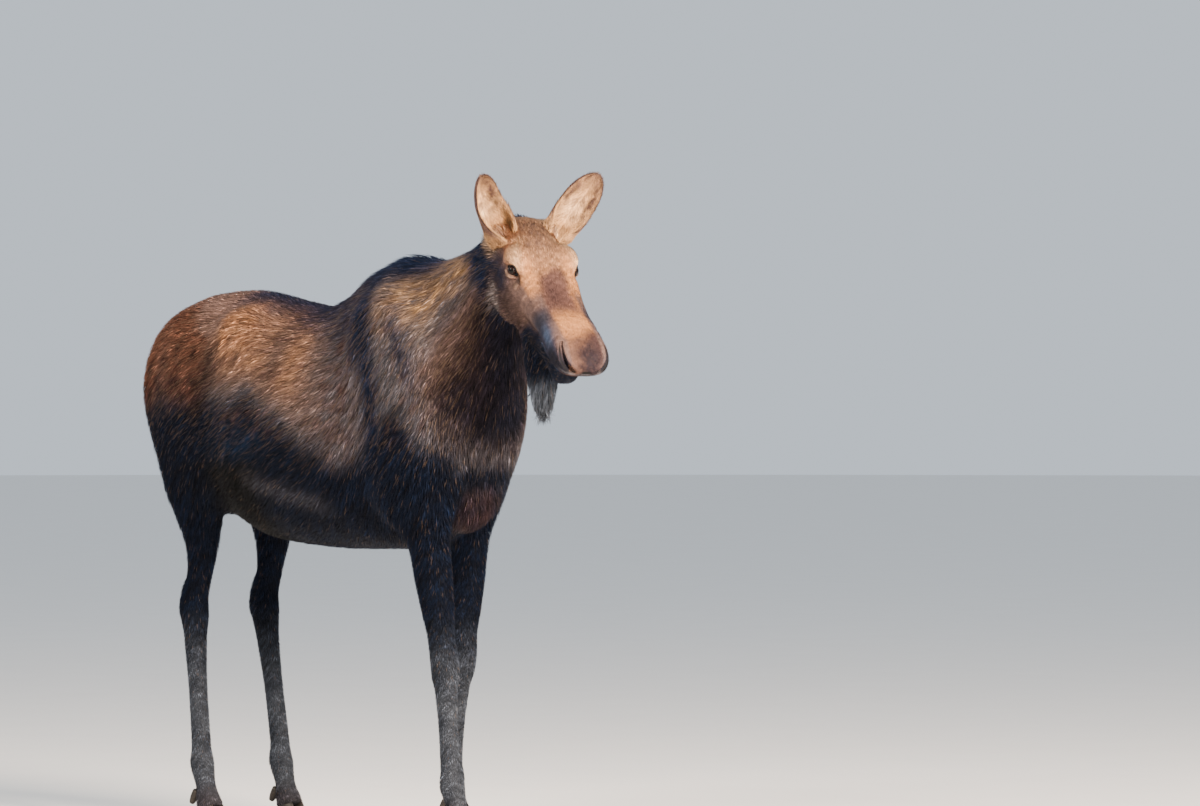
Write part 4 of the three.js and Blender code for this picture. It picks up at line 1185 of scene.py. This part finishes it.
# ---------------------------------------------------------------- tufts
def skin_triangles(skin):
    """The corners of the skin's triangles, their places on the unwrap, and all points and normals."""
    mesh = skin.data
    mesh.calc_loop_triangles()
    corners = read(mesh.loop_triangles, "vertices", 3, np.int32)
    loops = read(mesh.loop_triangles, "loops", 3, np.int32)
    uv = read(mesh.uv_layers["OFBake"].data, "uv", 2)[loops]
    return corners, uv, from_scene(mesh_points(mesh)), read(mesh.vertices, "normal", 3)


def plant(ground, style, density):
    """Roots spread over the skin's triangles, density of them to the square centimetre."""
    corners, uv, p, normals = ground
    a, b, c = (p[corners[:, i]] for i in range(3))
    area = length_of(np.cross(b - a, c - a)) / 200  # cm2
    wanted = area * density[corners].mean(1)
    count = np.floor(wanted + RNG.random(len(wanted))).astype(int)
    which = np.repeat(np.arange(len(count)), count)
    r, s = np.sqrt(RNG.random(len(which))), RNG.random(len(which))
    weights = np.stack([1 - r, r * (1 - s), r * s], 1)

    def at(values):
        values = values if values.ndim > 1 else values[:, None]
        return np.squeeze((values[corners[which]] * weights[:, :, None]).sum(1))

    roots = {name: at(values) for name, values in style.items()}
    roots |= {"point": at(p), "normal": unit(at(normals)), "uv": (uv[which] * weights[:, :, None]).sum(1)}
    keep = roots["bare"] < 0.5
    return {name: values[keep] for name, values in roots.items()}


def comb(roots, spread, lift):
    """Gives each root its direction along the skin, its length and the height of its tip."""
    n = roots["normal"]
    count = len(n)
    flow = unit(roots["flow"]) + spread * RNG.normal(size=(count, 3))
    flow = flow - n * dots(flow, n)[:, None]
    roots["lie"] = unit(flow)
    roots["side"] = np.cross(roots["lie"], n)
    roots["reach"] = roots["length"] * RNG.uniform(0.75, 1.12, count)
    height = roots["depth"] * RNG.uniform(0.72, 1.08, count) * lift
    roots["height"] = np.minimum(height, roots["reach"] * 0.75)
    return roots


def hug(roots, points, share_of_height):
    """Keeps points of long tufts at their height above the skin where the body curves."""
    on_body = (roots["length"] > 24) & (roots["face"] < 0.5)
    here = points[on_body]
    parts = flesh_parts(here)
    height = flesh(parts) + coat_depth(here, shares(parts))
    wanted = roots["height"][on_body] * share_of_height
    shift = np.clip(wanted - height, -22, 14)
    points[on_body] += roots["normal"][on_body] * shift[:, None]
    return points


def tuft_colours(roots, tip_lift):
    """Root, middle and tip colours, in streaks that follow the coat, some with golden tips."""
    p = roots["point"]
    x, y, z = p.T
    streaks = np.stack([x / 30, (0.78 * y + 0.62 * z) / 11, (0.62 * y - 0.78 * z) / 75], 1)
    on_body = 1 - roots["face"]
    lock = mix(0.30, 0.44, on_body) * ripple(streaks, 1.0, 51)
    lock = lock + 0.22 * on_body * ripple(streaks / 2.4, 1.0, 53)
    shade = np.exp(lock + 0.14 * ripple(p, 11, 52) + 0.22 * RNG.normal(size=len(p)))
    body = roots["colour"] * shade[:, None]
    tip = body * tip_lift
    pale = RNG.random(len(p)) < roots["fleck"]
    tip[pale] = mix(tip[pale], STRAW, 0.45)
    body[RNG.random(len(p)) < 0.14] *= 0.45
    return [np.clip(c, 0.002, 1) for c in (body * 0.5, body, tip)]


def ring_of(roots, middle, width, thickness):
    """Three points round a tuft: one above and two on the skin's side."""
    made = []
    for angle in (90, 210, 330):
        c, s = math.cos(math.radians(angle)), math.sin(math.radians(angle))
        across = roots["side"] * (width * c / 2)[:, None]
        made.append(middle + across + roots["normal"] * (thickness * s / 2)[:, None])
    return made


def lain(roots, along, up):
    """Points at a share of each tuft's reach along the skin and of its height above it."""
    n, lie = roots["normal"], roots["lie"]
    return roots["point"] + lie * (roots["reach"] * along)[:, None] + n * (roots["height"] * up)[:, None]


def spikes(roots, rings, tip, ring_colours, tip_colour):
    """Closed spikes through rings of three points to a tip, each with its patch of the unwrap."""
    last = 3 * (len(rings) - 1)
    turns = ((0, 1), (1, 2), (2, 0))
    walls = [[i, j, j + 3, i + 3] for i, j in turns]
    ends = [[last + i, last + j, last + 3] for i, j in turns] + [[0, 2, 1]]
    steps = (np.arange(len(tip)) * (last + 4))[:, None, None]
    faces = [np.array(f)[None] + steps for f in ([walls, ends] if last else [ends])]
    points = np.stack(sum(rings, []) + [tip], 1)
    colour = np.stack([c for c in ring_colours for _ in range(3)] + [tip_colour], 1)
    corners = np.array(sum(RING_PATCHES[: len(rings)], []) + [(0, 1)])
    uv = np.clip(roots["uv"][:, None, :] + PATCH / 2 * corners[None], 0, 1)
    faces = [f.reshape(-1, f.shape[2]) for f in faces]
    return points.reshape(-1, 3), faces, colour.reshape(-1, 3), uv.reshape(-1, 2)


def locks(roots, width):
    """Bent tufts of two rings."""
    count = len(roots["point"])
    wide = width * RNG.uniform(0.7, 1.3, count)
    sway = roots["side"] * (roots["reach"] * RNG.normal(0, 0.07, count))[:, None]
    start = roots["point"] - roots["normal"] * 2.0
    middle = hug(roots, lain(roots, 0.45, 0.72) + sway, 0.72)
    tip = hug(roots, lain(roots, 0.96, 1.0) + 2 * sway, 1.0)
    rings = [ring_of(roots, start, wide, wide * 0.5), ring_of(roots, middle, wide * 0.85, wide * 0.45)]
    low, mid, high = tuft_colours(roots, 1.35)
    return spikes(roots, rings, tip, [low, mid], high)


def hairs(roots, width):
    """Straight thin tufts of one ring."""
    slim = (0.5 + roots["length"] / 40).clip(0.6, 1.5)
    wide = width * slim * RNG.uniform(0.7, 1.3, len(slim))
    tip = hug(roots, lain(roots, 1.0, 1.0), 1.0)
    rings = [ring_of(roots, roots["point"] - roots["normal"] * 0.8, wide, wide * 0.6)]
    _, mid, high = tuft_colours(roots, 1.25)
    return spikes(roots, rings, tip, [mid * 0.8], high)


TUFT_TRIANGLES = {locks: 10, hairs: 4}


def coat_pieces(name, roots, build, width, shade):
    """Makes the tufts as joined meshes, each of one stretch of the body."""
    order = np.argsort(roots["point"][:, 1])
    triangles = len(order) * TUFT_TRIANGLES[build]
    for i, part in enumerate(np.array_split(order, max(1, math.ceil(triangles / MOST_TRIANGLES)))):
        chosen = {key: values[part] for key, values in roots.items()}
        mesh = mesh_of(f"{name}_{i + 1}", *build(chosen, width))
        add_object(mesh.name, mesh, shade)
    print("coat", name, len(order), "tufts", triangles, "triangles")


def grow_coat(skin, style):
    """Locks where the coat is long enough to break the outline, and fine hairs everywhere."""
    ground = skin_triangles(skin)
    long_coat, shaggy = rise(style["length"], 24, 32), rise(style["length"], 50, 64)
    short_coat = 1 - long_coat
    on_face = style["face"] >= 0.5
    coat = coat_material("coat", 0.6)
    legs, face = coat_material("leg coat", 0.66), coat_material("face coat", 0.6)
    # Name, tufts to the square centimetre, build, width in mm, spread, lift, material and slot.
    for name, density, build, width, spread, lift, shade, slot in (
        ("coat_locks", (0.35 + 0.5 * shaggy) * long_coat, locks, 4.6, 0.10, 1.0, coat, "coat"),
        ("coat_hairs", 4.1 * long_coat, hairs, 2.2, 0.12, 1.0, coat, "coat"),
        ("coat_legs", 6.5 * short_coat * ~on_face, hairs, 2.6, 0.12, 0.9, legs, "leg_coat"),
        ("coat_face", 20.0 * short_coat * on_face, hairs, 1.8, 0.12, 0.8, face, "face_coat"),
    ):
        roots = comb(plant(ground, style, density), spread, lift)
        coat_pieces(name, roots, build, width, shade)


# ---------------------------------------------------------------- materials
def plug(tree, node, **inputs):
    """Gives a node's inputs their values, or links them to the outputs of other nodes."""
    for name, value in inputs.items():
        socket = node.inputs[name.replace("_", " ")]
        if isinstance(value, bpy.types.NodeSocket):
            tree.links.new(value, socket)
        else:
            socket.default_value = value
    return node


def noise(tree, scale, detail, stretch):
    place = tree.nodes.new("ShaderNodeTexCoord").outputs["Object"]
    mapping = plug(tree, tree.nodes.new("ShaderNodeMapping"), Vector=place, Scale=stretch)
    texture = tree.nodes.new("ShaderNodeTexNoise")
    plug(tree, texture, Vector=mapping.outputs["Vector"], Scale=scale, Detail=detail)
    return texture.outputs["Fac"]


def from_markings(tree, grain, low, high):
    """The markings' colours times a grey that runs from low to high with the grain."""
    marks = tree.nodes.new("ShaderNodeAttribute")
    marks.attribute_name = "markings"
    grey = plug(tree, tree.nodes.new("ShaderNodeMapRange"), Value=grain, To_Min=low, To_Max=high)
    shaded = tree.nodes.new("ShaderNodeVectorMath")
    shaded.operation = "SCALE"
    plug(tree, shaded, Vector=marks.outputs["Color"], Scale=grey.outputs["Result"])
    return shaded.outputs["Vector"]


def between(tree, grain, dark, light, positions=(0.0, 1.0)):
    """A colour that runs from dark to light with the grain."""
    ramp = plug(tree, tree.nodes.new("ShaderNodeValToRGB"), Fac=grain)
    for stop, colour, position in zip(ramp.color_ramp.elements, (dark, light), positions):
        stop.position = position
        stop.color = (*colour, 1)
    return ramp.outputs["Color"]


def material(name, colour, ends, grain, bump=0.0, **sockets):
    """A material whose colour runs between two ends with its grain, which may also be a bump."""
    made = bpy.data.materials.new(name)
    made.use_nodes = True
    tree = made.node_tree
    strands = noise(tree, *grain)
    shader = plug(tree, tree.nodes["Principled BSDF"], Base_Color=colour(tree, strands, *ends), **sockets)
    if bump:
        relief = tree.nodes.new("ShaderNodeBump")
        plug(tree, relief, Height=strands, Strength=bump, Distance=0.002)
        plug(tree, shader, Normal=relief.outputs["Normal"])
    return made


def coat_material(name, roughness):
    grain = (420, 3, (1, 1, 1))
    return material(
        name, from_markings, (0.75, 1.25), grain, Roughness=roughness, Specular_IOR_Level=0.08
    )


def skin_material():
    grain = (260, 4, (1, 1, 0.25))
    return material(
        "skin", from_markings, (0.6, 1.2), grain, 0.6, Roughness=0.7, Specular_IOR_Level=0.1
    )


def eye_material():
    grain = (700, 2, (1, 1, 1))
    return material(
        "eye", from_markings, (0.7, 1.3), grain, Roughness=0.05, IOR=1.38, Specular_IOR_Level=0.16
    )


def horn_material():
    grain = (60, 4, (0.35, 0.35, 3.5))
    ends = ((0.004, 0.0035, 0.003), (0.020, 0.016, 0.013), (0.3, 0.75))
    return material("hoof horn", between, ends, grain, 0.5, Roughness=0.5, Specular_IOR_Level=0.25)


def floor_material():
    grain = (3, 3, (1, 1, 1))
    ends = ((0.76, 0.75, 0.73), (0.80, 0.79, 0.77))
    return material("studio floor", between, ends, grain, Roughness=0.85, Specular_IOR_Level=0.2)


# ---------------------------------------------------------------- eyes and hooves
def eye(side, node, shade):
    """An eyeball with a wide pupil, a dark brown iris and a bulging cornea."""
    centre, axes = EYE_FRAMES[side]
    rings, spokes = 40, 64
    theta = np.repeat(np.linspace(0, np.pi, rings), spokes)
    phi = np.tile(np.arange(spokes) * 2 * np.pi / spokes, rings)
    local = np.stack([np.sin(theta) * np.cos(phi), np.sin(theta) * np.sin(phi), np.cos(theta)], 1)
    radius = EYE_RADIUS - 1.2 + 1.6 * np.exp(-((theta / 0.62) ** 4))
    points = centre + (local * radius[:, None]) @ axes
    grid = np.arange(rings * spokes).reshape(rings, spokes)
    after = np.roll(grid, -1, axis=1)
    quads = np.stack([grid[:-1], grid[1:], after[1:], after[:-1]], -1).reshape(-1, 4)
    if np.linalg.det(axes) < 0:
        quads = quads[:, ::-1]
    h, v = local[:, 0] * EYE_RADIUS, local[:, 1] * EYE_RADIUS
    out = np.hypot(h, v) + 40 * (local[:, 2] < 0)
    pupil = np.sqrt((h / 9.5) ** 2 + (v / 5.6) ** 2)
    colour = layers(
        tone(26, 20, 22),
        (tone(32, 22, 20), fall(out, 14.5, 16.5)),
        (tone(12, 8, 8), hill(out, 15.4, 1.4)),
        (tone(4, 4, 6), fall(pupil, 0.8, 1.2)),
    )
    piece = add_object(f"eyeball_{node[4:]}", mesh_of(node, points, quads, colour), shade)
    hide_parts(node)


def horn_piece(node, shade):
    """A hoof or dewclaw with softened edges, made from its own solid."""
    mesh = NODES[node].data.copy()
    with editing(mesh) as bm:
        bmesh.ops.remove_doubles(bm, verts=bm.verts, dist=1e-5)
        bmesh.ops.dissolve_limit(bm, angle_limit=math.radians(2), verts=bm.verts, edges=bm.edges)
    piece = add_object(f"horn_{node}", mesh, shade)
    piece.data = modified(
        piece,
        BEVEL={"width": 0.003, "segments": 2, "angle_limit": math.radians(40)},
        SUBSURF={"levels": 1, "render_levels": 1},
    )
    smooth(piece.data)
    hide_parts(node)


# ---------------------------------------------------------------- studio
def studio():
    """A plain pale floor, soft light and a camera at the photograph's viewing angle."""
    scene = bpy.context.scene
    camera = linked("camera", bpy.data.cameras.new("camera"))
    camera.data.lens = LENS
    camera.data.sensor_width = 36
    camera.data.clip_end = 500
    camera.location = CAMERA_AT
    camera.rotation_euler = (math.radians(90 - CAMERA_DIP), 0, math.radians(CAMERA_HEADING))
    scene.camera = camera

    mesh = bpy.data.meshes.new("floor")
    with editing(mesh) as bm:
        bmesh.ops.create_circle(bm, cap_ends=True, segments=96, radius=60)
    mesh.materials.append(floor_material())
    floor = linked("floor", mesh)
    floor.location.z = -0.0005

    world = bpy.data.worlds.new("studio")
    world.use_nodes = True
    backdrop = world.node_tree.nodes["Background"]
    plug(world.node_tree, backdrop, Color=(0.80, 0.89, 1.0, 1), Strength=0.85)
    scene.world = world

    # Name, place and size in metres, power in watts and colour of each light.
    for name, at, size, power, colour in (
        ("key", (-1.5, -8.0, 5.0), 2.0, 4600, (1.0, 0.81, 0.64)),
        ("side", (-8.0, 1.0, 6.0), 2.4, 1100, (1.0, 0.88, 0.74)),
    ):
        light = linked(name, bpy.data.lights.new(name, "AREA"))
        light.data.size = size
        light.data.energy = power
        light.data.color = colour
        light.location = at
        x, y, z = np.array([0.0, 0.0, 1.3]) - at
        light.rotation_euler = (math.atan2(math.hypot(x, y), -z), 0, math.atan2(-x, y))


studio()
skin_piece, skin_style = full_skin()
grow_coat(skin_piece, skin_style)
eye_shade = eye_material()
eye(1, "eye_left", eye_shade)
eye(-1, "eye_right", eye_shade)
horn = horn_material()
for node_name in NODES:
    if node_name.startswith(("hoof", "dewclaw")):
        horn_piece(node_name, horn)
